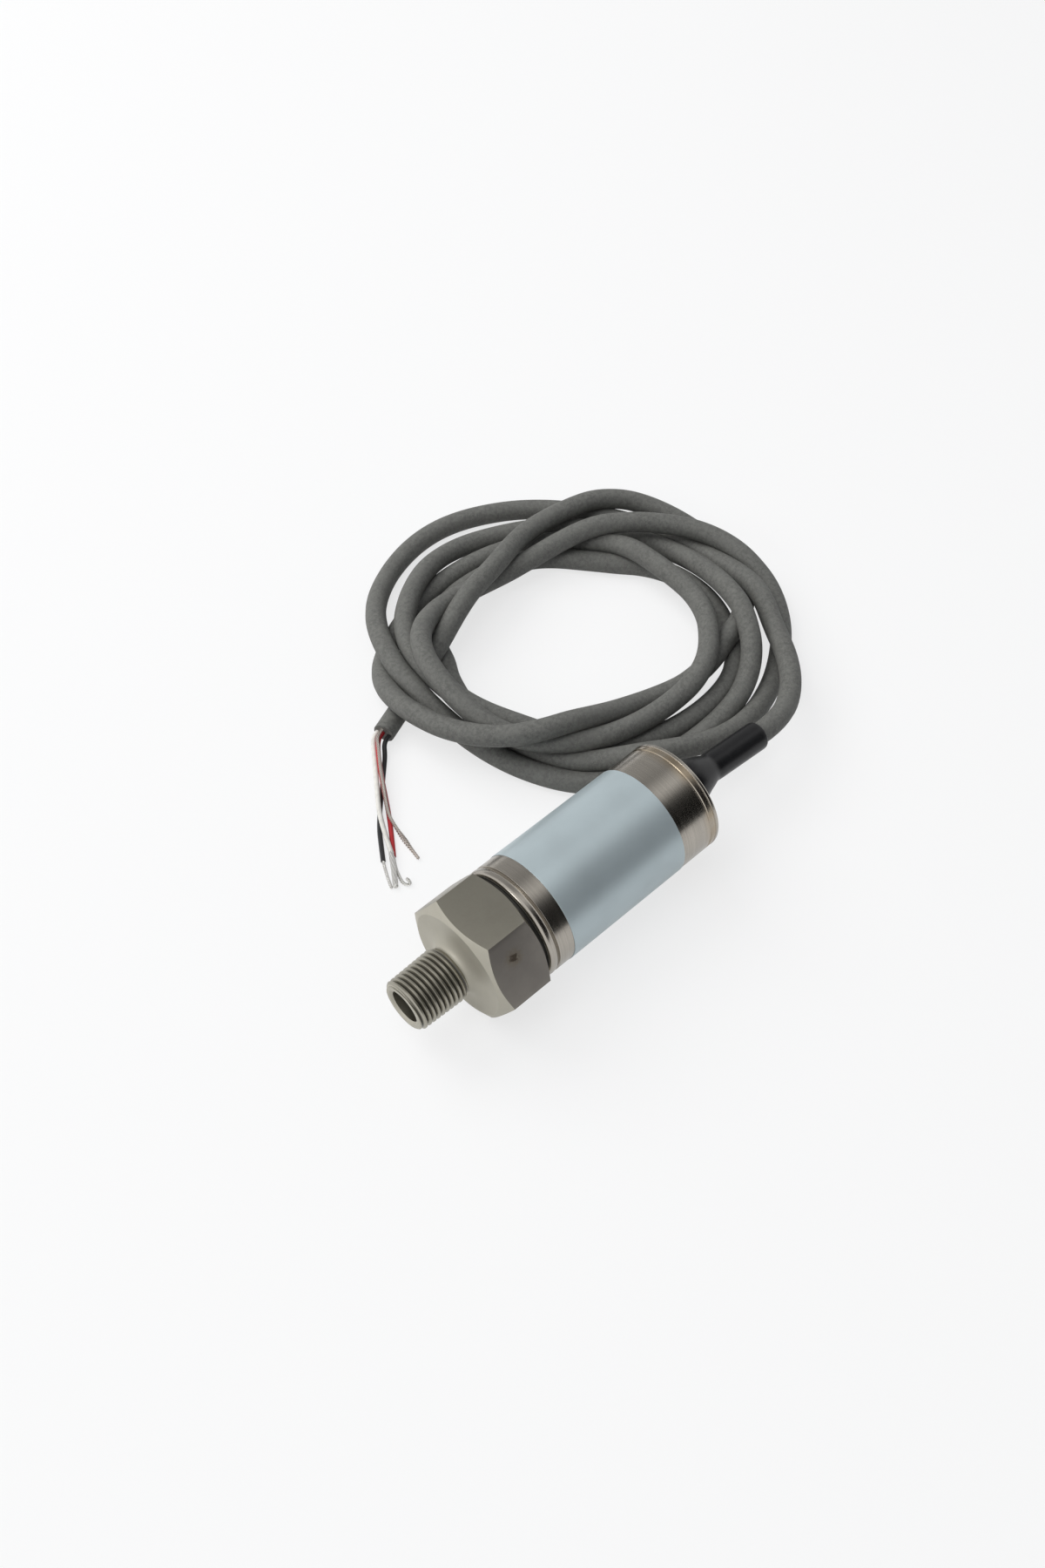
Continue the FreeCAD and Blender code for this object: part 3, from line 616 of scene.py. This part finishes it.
# How the coil settles: how fast it sinks, how stiff it is, how firmly it keeps to its plan and to
# its planned heights, how often in each round its strands part, and over how many last rounds it
# is let go. A strand that others lift moves by LEAN as it rises.
SINK, STIFFNESS, HOLD, HOLD_HEIGHT, PUSHES, FADE = 0.01, 0.2, 0.04, 0.02, 4, 200
LEAN = np.array((-0.64, -0.64))

# The coil, wound counter-clockwise about its middle from -30 degrees: for each turn, how far out
# and how high the cable passes in twelve directions. These numbers were printed by another
# program, rounded, and in part moved by hand: a loop over a few driving values should replace them.
COIL_MIDDLE = (37.8, 47.0)
COIL_START, DIRECTIONS = -30, 12
TURNS = [
    ([40.0, 38.0, 36.5, 38.5, 41.5, 40.0, 35.5, 31.0, 31.5, 35.5, 35.5, 38.5],
     [7.0, 2.2, 2.2, 2.2, 2.2, 2.2, 6.5, 3.0, 3.0, 2.2, 2.2, 3.0]),
    ([34.0, 34.0, 32.0, 32.0, 33.5, 31.0, 31.5, 28.0, 27.5, 30.0, 31.5, 34.0],
     [8.0, 3.0, 2.5, 2.2, 2.2, 6.5, 11.5, 2.2, 2.2, 2.2, 2.2, 2.2]),
    ([34.0, 30.0, 23.0, 23.5, 24.0, 26.8, 29.0, 29.0, 28.0, 33.5, 39.5, 42.5],
     [2.2, 2.2, 3.0, 2.2, 2.2, 2.2, 2.2, 6.0, 2.5, 6.0, 4.5, 2.2]),
    ([45.5, 39.5, 29.0, 21.5, 20.6, 23.8, 30.2, 28.5, 30.0, 28.5, 27.0, 31.0],
     [2.2, 6.5, 6.5, 6.0, 4.0, 5.0, 6.5, 9.5, 6.5, 6.5, 2.5, 7.0]),
    ([29.5, 25.5, 27.5, 27.5, 27.5, 31.5, 36.0, 34.5, 30.8, 24.5, 22.4, 29.5],
     [5.5, 5.5, 2.5, 2.2, 2.2, 2.2, 2.5, 5.5, 9.5, 4.5, 2.2, 2.5]),
    ([39.0, 42.5, 41.5, 28.0, 19.6, 21.5],
     [3.5, 2.2, 4.5, 6.5, 8.5, 8.5]),
]
DIVE = [(16.4, 61.4, 8.5), (10.4, 59.0, 5.5)]


def lead_points():
    end = sleeve_end()
    way = Vector((math.cos(SLEEVE_SAG), 0, -math.sin(SLEEVE_SAG)))
    return [tuple(end), tuple(end + way * LEAD_STRAIGHT)] + LEAD_RUNS


def coil_plan():
    """The coil's turns before they settle."""
    points = []
    places = [p for reach, height in TURNS for p in zip(reach, height)]
    for i, (reach, height) in enumerate(places):
        angle = math.radians(COIL_START + i * 360 / DIRECTIONS)
        out = reach / math.cos(math.pi / DIRECTIONS) ** 2 * 0.97
        points.append((COIL_MIDDLE[0] + out * math.cos(angle), COIL_MIDDLE[1] + out * math.sin(angle), height))
    return points


def smooth_curve(name, points, radius=0.0):
    """A NURBS line of order 3 through its control points' corners, as round as a cord."""
    curve = bpy.data.curves.new(name, "CURVE")
    curve.dimensions = "3D"
    curve.resolution_u = 6
    spline = curve.splines.new("NURBS")
    spline.points.add(len(points) - 1)
    for knot, point in zip(spline.points, points):
        knot.co = (*(c * MM for c in point), 1.0)
    spline.order_u = 3
    spline.use_endpoint_u = True
    curve.bevel_depth = radius * MM
    curve.bevel_resolution = 6
    curve.use_fill_caps = True
    return curve


def read_line(points, spacing):
    """Evenly spaced points along the NURBS line of a route, in millimetres."""
    guide = bpy.data.objects.new("guide", smooth_curve("guide", points))
    guide.data.use_fill_caps = False
    mesh = bpy.data.meshes.new_from_object(guide)
    line = np.array([v.co for v in mesh.vertices]) / MM
    bpy.data.objects.remove(guide)
    bpy.data.meshes.remove(mesh)
    reach = np.r_[0, np.cumsum(np.linalg.norm(np.diff(line, axis=0), axis=1))]
    places = np.linspace(0, reach[-1], int(round(reach[-1] / spacing)) + 1)
    return np.stack([np.interp(places, reach, line[:, i]) for i in range(3)], axis=1)


def settled(line, spacing, held, freed, rounds=700):
    """The wound cable let down on the floor and on itself, kept near its plan.

    The first points, up to held, and the last, from freed, stay where they are.
    """
    plan, flat = line.copy(), line * (1, 1, 0)
    thick = 2 * CABLE_RADIUS + 0.02
    apart = int(3 * thick / spacing) + 1
    for turn in range(rounds):
        line[:, 2] -= SINK
        bend = line - flat
        for k in (1, 3):
            straight = bend.copy()
            straight[2 * k:-2 * k] = (4 * (bend[k:-3 * k] + bend[3 * k:-k]) - bend[:-4 * k] - bend[4 * k:]) / 6
            bend += STIFFNESS * (straight - bend)
        line = flat + bend
        off = line - plan
        grip = min(1.0, (rounds - turn) / FADE)
        line[:, :2] -= grip * HOLD * (off[:, :2] - off[:, 2:] * LEAN)
        line[:, 2] -= grip * HOLD_HEIGHT * off[:, 2]
        if turn % 20 == 0:
            near = ((line[:, None] - line[None]) ** 2).sum(2) < (thick + 4) ** 2
            first, second = (i for i in np.nonzero(np.triu(near, apart)))
        for _ in range(PUSHES):
            line = pushed_apart(line, first, second, thick)
        line[:, 2] = np.maximum(line[:, 2], CABLE_RADIUS)
        line = clear_of_transmitter(line)
        line[:held] = plan[:held]
        line[freed:] = plan[freed:]
    return line


def pushed_apart(line, first, second, thick):
    """Each pair of points closer than the cable's thickness moves apart."""
    gap = line[first] - line[second]
    far = np.linalg.norm(gap, axis=1) + 1e-9
    close = far < thick
    push = gap[close] / far[close, None] * (0.52 * (thick - far[close]))[:, None]
    moved, times = np.zeros_like(line), np.zeros(len(line))
    for ends, way in ((first[close], 1), (second[close], -1)):
        np.add.at(moved, ends, way * push)
        np.add.at(times, ends, 1)
    return line + moved / np.maximum(times, 1)[:, None]


def clear_of_transmitter(line):
    """Points inside the can or the sleeve move out to its side."""
    up = line[:, 2] - AXIS
    far = np.hypot(line[:, 1], up) + 1e-9
    past_can = MOUTH + CAN_BACK
    limit = np.where(line[:, 0] < past_can, CAN_RADIUS + CABLE_RADIUS, SLEEVE_RADIUS + CABLE_RADIUS)
    inside = (far < limit) & (line[:, 0] < sleeve_end().x)
    grow = (limit / far)[inside]
    line[inside, 1] *= grow
    line[inside, 2] = np.maximum(AXIS + up[inside] * grow, CABLE_RADIUS)
    return line


def cable_points():
    """The whole cable's control points: lead, settled coil and free end."""
    spacing, keep = 2.2, 2
    lead, tail = lead_points(), [TAIL_START, CUT_END]
    held = len(read_line(lead, spacing))
    line = read_line(lead + coil_plan() + DIVE + tail, spacing)
    line = settled(line, spacing, held, -5)
    return lead + [tuple(p) for p in line[held + 2:-6:keep]] + tail


def cable_jacket(colours):
    """Matt grey jacket with a faint cloth-like grain, scuffs and dust."""
    f = Finish("cable_jacket")
    place = f.place()
    grain = f.noise(place, 1500, 4, 0.65)
    weave = f.noise(place, 4200, 2)
    cloud = f.noise(place, 160, 3)
    mottle = f.noise(place, 520, 4, 0.6)
    grey = colours.cable
    colour = f.blend(f.step(grain, 0.3, 0.72), shade(grey, 0.74), shade(grey, 1.2))
    colour = f.blend(f.step(weave, 0.55, 0.75) * 0.5, colour, shade(grey, 1.7))
    colour = f.blend(f.step(mottle, 0.5, 0.75) * 0.35, colour, shade(grey, 1.45))
    colour = f.blend(f.step(cloud, 0.4, 0.7) * 0.3, colour, shade(grey, 1.25))
    return f.done(
        Base_Color=colour,
        Roughness=0.62 + grain * 0.2,
        Normal=f.bump(grain * 0.6 + weave * 0.4, 0.00008, 0.5),
    )


# ---------------------------------------------------------------- wires

WIRE_RADIUS, DRAIN_RADIUS = 0.475, 0.35
WIRE_STRAIGHT, WIRE_INSIDE = 2.0, 3.0
# For each wire: how far aside and how high it leaves the jacket, its insulated and its bared route,
# and its bared strands: how many, how far out they lie, their radius and the pitch of their twist.
WIRES = {
    "white_wire": (
        1.35, 2.0,
        [(-10.0, 49.2, 1.7), (-14.0, 43.7, 1.8), (-17.2, 39.3, 1.7), (-19.5, 34.8, 1.1), (-21.2, 31.0, 1.05)],
        [(-22.7, 28.6, 0.6), (-25.4, 24.7, 0.53)], (7, 0.28, 0.24, 9.0),
    ),
    "red_wire": (
        0.2, 2.3,
        [(-9.3, 48.9, 2.2), (-11.6, 45.3, 1.8), (-13.6, 41.9, 1.2), (-15.9, 38.0, 0.5), (-18.6, 34.0, 0.5),
         (-21.3, 30.2, 0.5)],
        [(-22.5, 28.4, 0.4), (-23.3, 26.3, 0.34), (-23.8, 24.6, 0.34), (-23.2, 23.5, 0.4), (-22.5, 24.0, 0.55),
         (-22.8, 24.9, 0.8)], (5, 0.19, 0.14, 1.9),
    ),
    "black_wire": (
        -1.15, 2.0,
        [(-7.6, 49.1, 1.0), (-9.8, 46.9, 0.5), (-13.0, 43.6, 0.5), (-16.4, 40.1, 0.5), (-19.3, 36.8, 0.5),
         (-21.6, 33.4, 0.5), (-23.4, 30.7, 0.5)],
        [(-24.7, 28.5, 0.4), (-26.0, 25.2, 0.34)], (5, 0.19, 0.14, 1.9),
    ),
}
DRAIN = (
    0.3, 3.35,
    [(-8.3, 50.0, 3.1), (-10.9, 46.4, 2.75), (-13.1, 42.9, 2.25), (-14.9, 40.0, 1.75), (-16.3, 37.6, 1.4),
     (-16.9, 34.6, 0.75), (-17.5, 31.6, 0.56), (-18.2, 26.7, 0.5)], (5, 0.2, 0.145, 2.4),
)


def out_of_jacket(aside, height):
    """A wire's first points: inside the jacket, on its cut face, and straight out of it."""
    out = (Vector(CUT_END) - Vector(TAIL_START)).normalized()
    start = Vector(CUT_END) + Vector((out.y, -out.x, 0)) * aside
    start.z = height
    return [tuple(start - out * WIRE_INSIDE), tuple(start), tuple(start + out * WIRE_STRAIGHT)]


def twisted_mesh(name, route, strands, lay, strand_radius, pitch, opened=0.0):
    """Bare strands twisted along a route: one in the middle and the others round it.

    The twist opens near its end by a share of the lay, and the strands' tips are rounded.
    """
    spacing, sides = 0.25, 8
    line = read_line(route, spacing)
    points, faces = [], []
    ways = np.gradient(line, axis=0)
    ways /= np.linalg.norm(ways, axis=1)[:, None]
    side = np.cross(ways, (0, 0, 1))
    side /= np.linalg.norm(side, axis=1)[:, None]
    up = np.cross(side, ways)
    reach = np.linspace(0, 1, len(line))
    loose = lay * (1 + opened * np.exp(-((reach - 0.85) / 0.06) ** 2))[:, None]
    to_tip = (1 - reach) * (len(line) - 1) * spacing / strand_radius
    thick = strand_radius * np.sqrt(1 - (1 - np.minimum(to_tip + 0.05, 1)) ** 2)
    for strand in range(strands):
        out = 0.0 if strand == 0 else loose
        turn = 2 * math.pi * (np.arange(len(line)) * spacing / pitch + strand / max(strands - 1, 1))
        middle = line + out * (np.cos(turn)[:, None] * side + np.sin(turn)[:, None] * up)
        first = len(points)
        for i, at in enumerate(middle):
            for s in range(sides):
                a = 2 * math.pi * s / sides
                points.append(tuple(at + thick[i] * (math.cos(a) * side[i] + math.sin(a) * up[i])))
        for i in range(len(middle) - 1):
            for s in range(sides):
                t = (s + 1) % sides
                faces.append(tuple(first + k for k in (
                    i * sides + s, i * sides + t, (i + 1) * sides + t, (i + 1) * sides + s)))
        last = first + (len(middle) - 1) * sides
        faces += [tuple(first + s for s in range(sides)), tuple(last + s for s in range(sides))]
    return mesh_from(name, points, faces)


def wire_insulation(name, colour):
    f = Finish(name, Coat_Weight=0.15)
    place = f.place()
    smudge = f.noise(place, 900, 3)
    tone = f.blend(f.step(smudge, 0.4, 0.75) * 0.5, shade(colour), shade(colour, 0.7))
    return f.done(Base_Color=tone, Roughness=0.34 + smudge * 0.15, Normal=f.bump(smudge, 0.00002, 0.3))


def tinned_copper(name, colour):
    f = Finish(name, Metallic=1.0)
    place = f.place()
    lumps = f.noise(place, 2600, 3)
    tone = f.blend(lumps * 0.5, shade(colour), shade(colour, 0.6))
    return f.done(Base_Color=tone, Roughness=0.25 + lumps * 0.2, Normal=f.bump(lumps, 0.00003, 0.5))


# ---------------------------------------------------------------- inner pieces

def plain_finish(name, colour, metallic=0.0, roughness=0.5, grain=900):
    """A moulded, cut or rolled part's own colour with a fine grain."""
    f = Finish(name, Metallic=metallic)
    place = f.place()
    fine = f.noise(place, grain, 3)
    tone = f.blend(f.step(fine, 0.35, 0.7) * 0.4, shade(colour), shade(colour, 0.75))
    return f.done(Base_Color=tone, Roughness=roughness + fine * 0.1, Normal=f.bump(fine, 0.00001, 0.3))


# What the hidden CAD nodes are made of: colour, metallic, roughness.
INNER_FINISHES = {
    "strain_gauges": ((0.16, 0.15, 0.17), 0.6, 0.25),
    "gauge_flex": ((0.55, 0.25, 0.05), 0.0, 0.35),
    "front_spacer": ((0.7, 0.68, 0.6), 0.0, 0.5),
    "rear_spacer": ((0.7, 0.68, 0.6), 0.0, 0.5),
    "circuit_board": ((0.02, 0.16, 0.06), 0.0, 0.3),
    "amplifier_chip": ((0.02, 0.02, 0.022), 0.0, 0.45),
    "regulator_chip": ((0.02, 0.02, 0.022), 0.0, 0.45),
    "capacitors": ((0.45, 0.32, 0.2), 0.0, 0.4),
    "resistors": ((0.03, 0.03, 0.035), 0.0, 0.4),
    "ground_clip": ((0.6, 0.4, 0.18), 1.0, 0.3),
    "crimp_ring": ((0.55, 0.55, 0.53), 1.0, 0.35),
    "inner_lead_white": ((0.72, 0.71, 0.68), 0.0, 0.4),
    "inner_lead_red": ((0.4, 0.015, 0.02), 0.0, 0.4),
    "inner_lead_black": ((0.015, 0.015, 0.016), 0.0, 0.4),
}


# ---------------------------------------------------------------- settings

def colour_property(name, description, default):
    return FloatVectorProperty(
        name=name, description=description, default=default, subtype="COLOR", size=3, min=0.0, max=1.0)


class TransmitterColours(bpy.types.PropertyGroup):
    """The colours that a user may change."""
    fitting_steel: colour_property("Fitting steel", "Turned stainless steel of the fitting", (0.40, 0.38, 0.32))
    # Painted shade: the colour that darkens the near flats, standing in for the dark reflection they show.
    near_flat_shade: colour_property("Near_flat_shade", "Dull patch on the fitting's near flat", (0.195, 0.18, 0.165))
    can_steel: colour_property("Can steel", "Brushed stainless steel of the can", (0.43, 0.40, 0.355))
    heat_tint: colour_property("Heat tint", "Straw-brown tint beside the rim's weld", (0.36, 0.27, 0.16))
    label_foil: colour_property("Label", "Bare foil of the label", (0.505, 0.585, 0.61))
    rubber: colour_property("Grommet rubber", "Black rubber of the grommet", (0.012, 0.012, 0.013))
    sleeve: colour_property("Sleeve", "Heat-shrunk sleeve over the cable", (0.008, 0.008, 0.009))
    cable: colour_property("Cable", "Grey jacket of the signal cable", (0.125, 0.125, 0.115))
    white: colour_property("White wire", "Insulation of the white wire", (0.72, 0.70, 0.65))
    red: colour_property("Red wire", "Insulation of the red wire", (0.42, 0.015, 0.02))
    black: colour_property("Black wire", "Insulation of the black wire", (0.014, 0.014, 0.015))
    tinned: colour_property("Tinned ends", "Tinned copper of the bared ends", (0.80, 0.79, 0.76))
    drain: colour_property("Drain wire", "Twisted bare drain wire", (0.66, 0.60, 0.55))
    floor: colour_property("Floor", "The plain floor under the object", (0.80, 0.80, 0.80))


class TransmitterSizes(bpy.types.PropertyGroup):
    """The sizes that a user may change without leaving the frame."""
    cable_length: FloatProperty(
        name="Cable length", description="Free length of the cable beyond the sleeve",
        default=1.19, min=0.5, max=3.0, unit="LENGTH")
    strands: IntProperty(
        name="Drain strands", description="Strands twisted into the drain wire", default=5, min=3, max=9)
    floor_radius: FloatProperty(
        name="Floor radius", description="Radius of the round floor",
        default=1.6, min=0.3, max=5.0, unit="LENGTH")
    lamp_strength: FloatProperty(
        name="Lamp strength", description="Level of all the lamps together", default=1.0, min=0.0, max=5.0)


# ---------------------------------------------------------------- operators

class Maker:
    """What the operators share."""
    bl_options = {"REGISTER", "UNDO"}

    def execute(self, context):
        self.make(context, context.scene.transmitter_colours, context.scene.transmitter_sizes)
        return {"FINISHED"}


# The camera's place in metres, its turns in degrees, and its lens in millimetres.
CAMERA_PLACE, CAMERA_TURNS, CAMERA_LENS = (-0.1160, -0.10735, 0.2433), (36.87, 0.0, -42.73), 54.75
# Each lamp's place, size and power.
LAMPS = {
    "key": ((-0.15, 0.75, 0.7), 0.8, 6.5),
    "overhead": ((-0.25, 0.1, 1.0), 0.7, 3.0),
    "front": ((-0.8, 0.2, 0.5), 0.3, 1.2),
}
# The tent's radius, its two ends along X, and its light from the near side to the far one.
TENT_RADIUS, TENT_ENDS = 0.9, (-0.12, 1.3)
TENT_LIGHT = [
    (0.0, 0.01), (0.08, 0.03), (0.18, 0.14), (0.28, 0.5), (0.42, 0.85), (0.6, 0.66), (0.8, 0.34), (1.0, 0.5),
]
# How much plain white the floor shows to the eye and through glass, and to reflections.
FLOOR_SEEN, FLOOR_REFLECTED = 0.72, 0.5
SKY = (0.34, 0.35, 0.365, 1)
WHITE = (1, 1, 1, 1)


class TRANSMITTER_OT_stage(Maker, bpy.types.Operator):
    """Adds the floor, light tent, lamps, world and camera."""
    bl_idname = "transmitter.stage"
    bl_label = "Stage"

    def make(self, context, colours, sizes):
        scene = context.scene
        scene.view_settings.view_transform = "Standard"
        self.floor(colours, sizes)
        self.tent()
        self.world(scene)
        for name, (place, size, power) in LAMPS.items():
            self.lamp(name, Vector(place), size, power * sizes.lamp_strength, seen=name == "front")
        camera = bpy.data.cameras.new("camera")
        camera.sensor_fit, camera.sensor_width, camera.lens = "HORIZONTAL", 36.0, CAMERA_LENS
        camera.clip_start, camera.clip_end = 0.01, 20.0
        stand = bpy.data.objects.new("camera", camera)
        stand.location = CAMERA_PLACE
        stand.rotation_euler = tuple(math.radians(a) for a in CAMERA_TURNS)
        scene.collection.objects.link(stand)
        scene.camera = stand

    def floor(self, colours, sizes):
        mesh = bpy.data.meshes.new("floor")
        work = bmesh.new()
        bmesh.ops.create_circle(work, cap_ends=True, segments=96, radius=sizes.floor_radius)
        work.to_mesh(mesh)
        work.free()
        f = Finish("pale_floor", Roughness=0.9, Specular_IOR_Level=0.1)
        f.feed(f.shader.inputs["Base Color"], shade(colours.floor))
        glow = f.add("ShaderNodeEmission", sockets={"Color": WHITE, "Strength": 1.0})
        share = seen_straight(f, FLOOR_SEEN, FLOOR_REFLECTED)
        mixed = f.add("ShaderNodeMixShader", sockets={0: share, 1: Value(f, f.shader.outputs[0]), 2: glow})
        output = next(n for n in f.nodes if n.type == "OUTPUT_MATERIAL")
        f.links.new(mixed.socket, output.inputs["Surface"])
        mesh.materials.append(f.material)
        floor = bpy.data.objects.new("floor", mesh)
        bpy.context.scene.collection.objects.link(floor)

    def tent(self):
        """A half-round tent that only reflections see: light on the far side, black on the near one."""
        columns = 64
        points, faces = [], []
        for c in range(columns + 1):
            angle = math.pi * c / columns
            for x in TENT_ENDS:
                points.append((x, TENT_RADIUS * math.cos(angle), TENT_RADIUS * math.sin(angle)))
        for c in range(columns):
            faces.append((2 * c, 2 * c + 1, 2 * c + 3, 2 * c + 2))
        mesh = bpy.data.meshes.new("tent")
        mesh.from_pydata(points, [], faces)
        f = Finish("tent_cloth")
        across = f.parts(f.place())[1]
        light = f.ramp(f.step(across, -TENT_RADIUS, TENT_RADIUS), *TENT_LIGHT)
        glow = f.add("ShaderNodeEmission", sockets={"Color": light, "Strength": 1.0})
        output = next(n for n in f.nodes if n.type == "OUTPUT_MATERIAL")
        f.links.new(glow.socket, output.inputs["Surface"])
        mesh.materials.append(f.material)
        tent = bpy.data.objects.new("tent", mesh)
        tent.visible_camera = tent.visible_diffuse = tent.visible_shadow = tent.visible_transmission = False
        bpy.context.scene.collection.objects.link(tent)

    def world(self, scene):
        world = bpy.data.worlds.new("studio")
        scene.world = world
        world.use_nodes = True
        f = Backdrop(world)
        background = f.nodes["Background"]
        f.feed(background.inputs["Color"], f.blend(seen_straight(f), SKY, WHITE))

    def lamp(self, name, place, size, power, seen):
        light = bpy.data.lights.new(name, "AREA")
        light.shape, light.size, light.energy = "DISK", size, power
        stand = bpy.data.objects.new(name, light)
        stand.location = place
        stand.rotation_euler = (-place).to_track_quat("-Z", "Y").to_euler()
        stand.visible_glossy = seen
        bpy.context.scene.collection.objects.link(stand)


def seen_straight(f, share=1.0, glossy_share=1.0):
    """The share of plain white seen by rays from the eye and through glass, and by those off metal."""
    rays = f.add("ShaderNodeLightPath").socket.node.outputs
    names = ("Is Camera Ray", "Is Glossy Ray", "Is Transmission Ray")
    straight, glossy, through = (Value(f, rays[name]) for name in names)
    return ((straight + through) * share + glossy * glossy_share).clamped()


class TRANSMITTER_OT_cable(Maker, bpy.types.Operator):
    """Winds the signal cable and lets it settle."""
    bl_idname = "transmitter.cable"
    bl_label = "Cable"

    def make(self, context, colours, sizes):
        curve = smooth_curve("signal_cable", cable_points(), CABLE_RADIUS)
        curve.materials.append(cable_jacket(colours))
        cable = bpy.data.objects.new("signal_cable", curve)
        fitted(cable, ["cable_lead", "cable_coil", "cable_tail"])
        tuple(sleeve_end() * MM)
        dress("cable_root", cable.data.materials[0])


class TRANSMITTER_OT_wires(Maker, bpy.types.Operator):
    """Adds the three insulated wires with their tinned ends, and the twisted drain wire."""
    bl_idname = "transmitter.wires"
    bl_label = "Wires"

    def make(self, context, colours, sizes):
        tin = tinned_copper("tinned_copper", colours.tinned)
        for name, (aside, height, insulated, bared, strands) in WIRES.items():
            hue = name.split("_")[0]
            end_name = name.replace("_wire", "_tinned_end")
            end_mesh = twisted_mesh(end_name + "_strands", [insulated[-1]] + bared, *strands)
            end = piece(end_name + "_strands", end_mesh, tin, [end_name], 60)
            curve = smooth_curve(name, out_of_jacket(aside, height) + insulated, WIRE_RADIUS)
            curve.materials.append(wire_insulation(hue + "_insulation", getattr(colours, hue)))
            wire = fitted(bpy.data.objects.new(hue + "_insulated_wire", curve), [name])
        aside, height, bare, (_, lay, strand_radius, pitch) = DRAIN
        route = out_of_jacket(aside, height) + bare
        mesh = twisted_mesh("drain_strands", route, sizes.strands, lay, strand_radius, pitch, 1.0)
        drain = piece("drain_strands", mesh, tinned_copper("drain_copper", colours.drain), ["drain_wire"],
                      60)
        path = [tuple(p * MM) for p in read_line(route, 0.5)]


class TRANSMITTER_OT_fitting(Maker, bpy.types.Operator):
    """Adds the process fitting with its pipe thread and hexagon."""
    bl_idname = "transmitter.fitting"
    bl_label = "Process fitting"

    def make(self, context, colours, sizes):
        piece("threaded_fitting", process_fitting_mesh(), machined_steel(colours), ["process_fitting"],
              28)


class TRANSMITTER_OT_can(Maker, bpy.types.Operator):
    """Adds the can, its end plate and its label."""
    bl_idname = "transmitter.can"
    bl_label = "Can, end plate and label"

    def make(self, context, colours, sizes):
        steel = brushed_can_steel(colours)
        piece("can_shell", can_mesh(), steel, ["housing_can"], 35)
        piece("end_plate", end_plate_mesh(), machined_steel(colours), ["back_plate"])
        piece("label_foil", label_mesh(), label_print(colours), ["label"])


class TRANSMITTER_OT_cable_entry(Maker, bpy.types.Operator):
    """Adds the rubber grommet and the heat-shrunk sleeve."""
    bl_idname = "transmitter.cable_entry"
    bl_label = "Grommet and sleeve"

    def make(self, context, colours, sizes):
        rubber, sleeve = black_rubber(colours), shrink_sleeve_finish(colours)
        piece("rubber_grommet", grommet_mesh(), rubber, ["cable_grommet"], 40)
        piece("shrink_sleeve", sleeve_mesh(), sleeve, ["cable_sleeve"], 40)


class TRANSMITTER_OT_inner_pieces(Maker, bpy.types.Operator):
    """Gives the pieces inside the can their materials."""
    bl_idname = "transmitter.inner_pieces"
    bl_label = "Inner pieces"

    def make(self, context, colours, sizes):
        for node, (colour, metallic, roughness) in INNER_FINISHES.items():
            dress(node, plain_finish(node + "_finish", colour, metallic, roughness))


def dress(node, material):
    """A carried-over CAD node's new material."""
    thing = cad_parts[node]
    if not thing.material_slots:
        thing.data.materials.append(material)
    for place in thing.material_slots:
        place.material = material


class TRANSMITTER_PT_panel(bpy.types.Panel):
    """Lists the transmitter's pieces in the sidebar."""
    bl_label = "Pressure transmitter"
    bl_idname = "TRANSMITTER_PT_panel"
    bl_space_type = "VIEW_3D"
    bl_region_type = "UI"
    bl_category = "Transmitter"

    def draw(self, context):
        for group in (context.scene.transmitter_colours, context.scene.transmitter_sizes):
            for name in group.__annotations__:
                self.layout.prop(group, name)
        for operator in OPERATORS:
            self.layout.operator(operator.bl_idname)


OPERATORS = (
    TRANSMITTER_OT_stage, TRANSMITTER_OT_cable, TRANSMITTER_OT_wires, TRANSMITTER_OT_fitting,
    TRANSMITTER_OT_can, TRANSMITTER_OT_cable_entry, TRANSMITTER_OT_inner_pieces,
)
CLASSES = (TransmitterColours, TransmitterSizes, *OPERATORS, TRANSMITTER_PT_panel)


def register():
    for each in CLASSES:
        bpy.utils.register_class(each)
    bpy.types.Scene.transmitter_colours = PointerProperty(type=TransmitterColours)
    bpy.types.Scene.transmitter_sizes = PointerProperty(type=TransmitterSizes)


def unregister():
    del bpy.types.Scene.transmitter_sizes
    del bpy.types.Scene.transmitter_colours
    for each in reversed(CLASSES):
        bpy.utils.unregister_class(each)


def main():
    register()
    for operator in OPERATORS:
        getattr(bpy.ops.transmitter, operator.bl_idname.split(".")[1])()


if __name__ == "__main__":
    main()
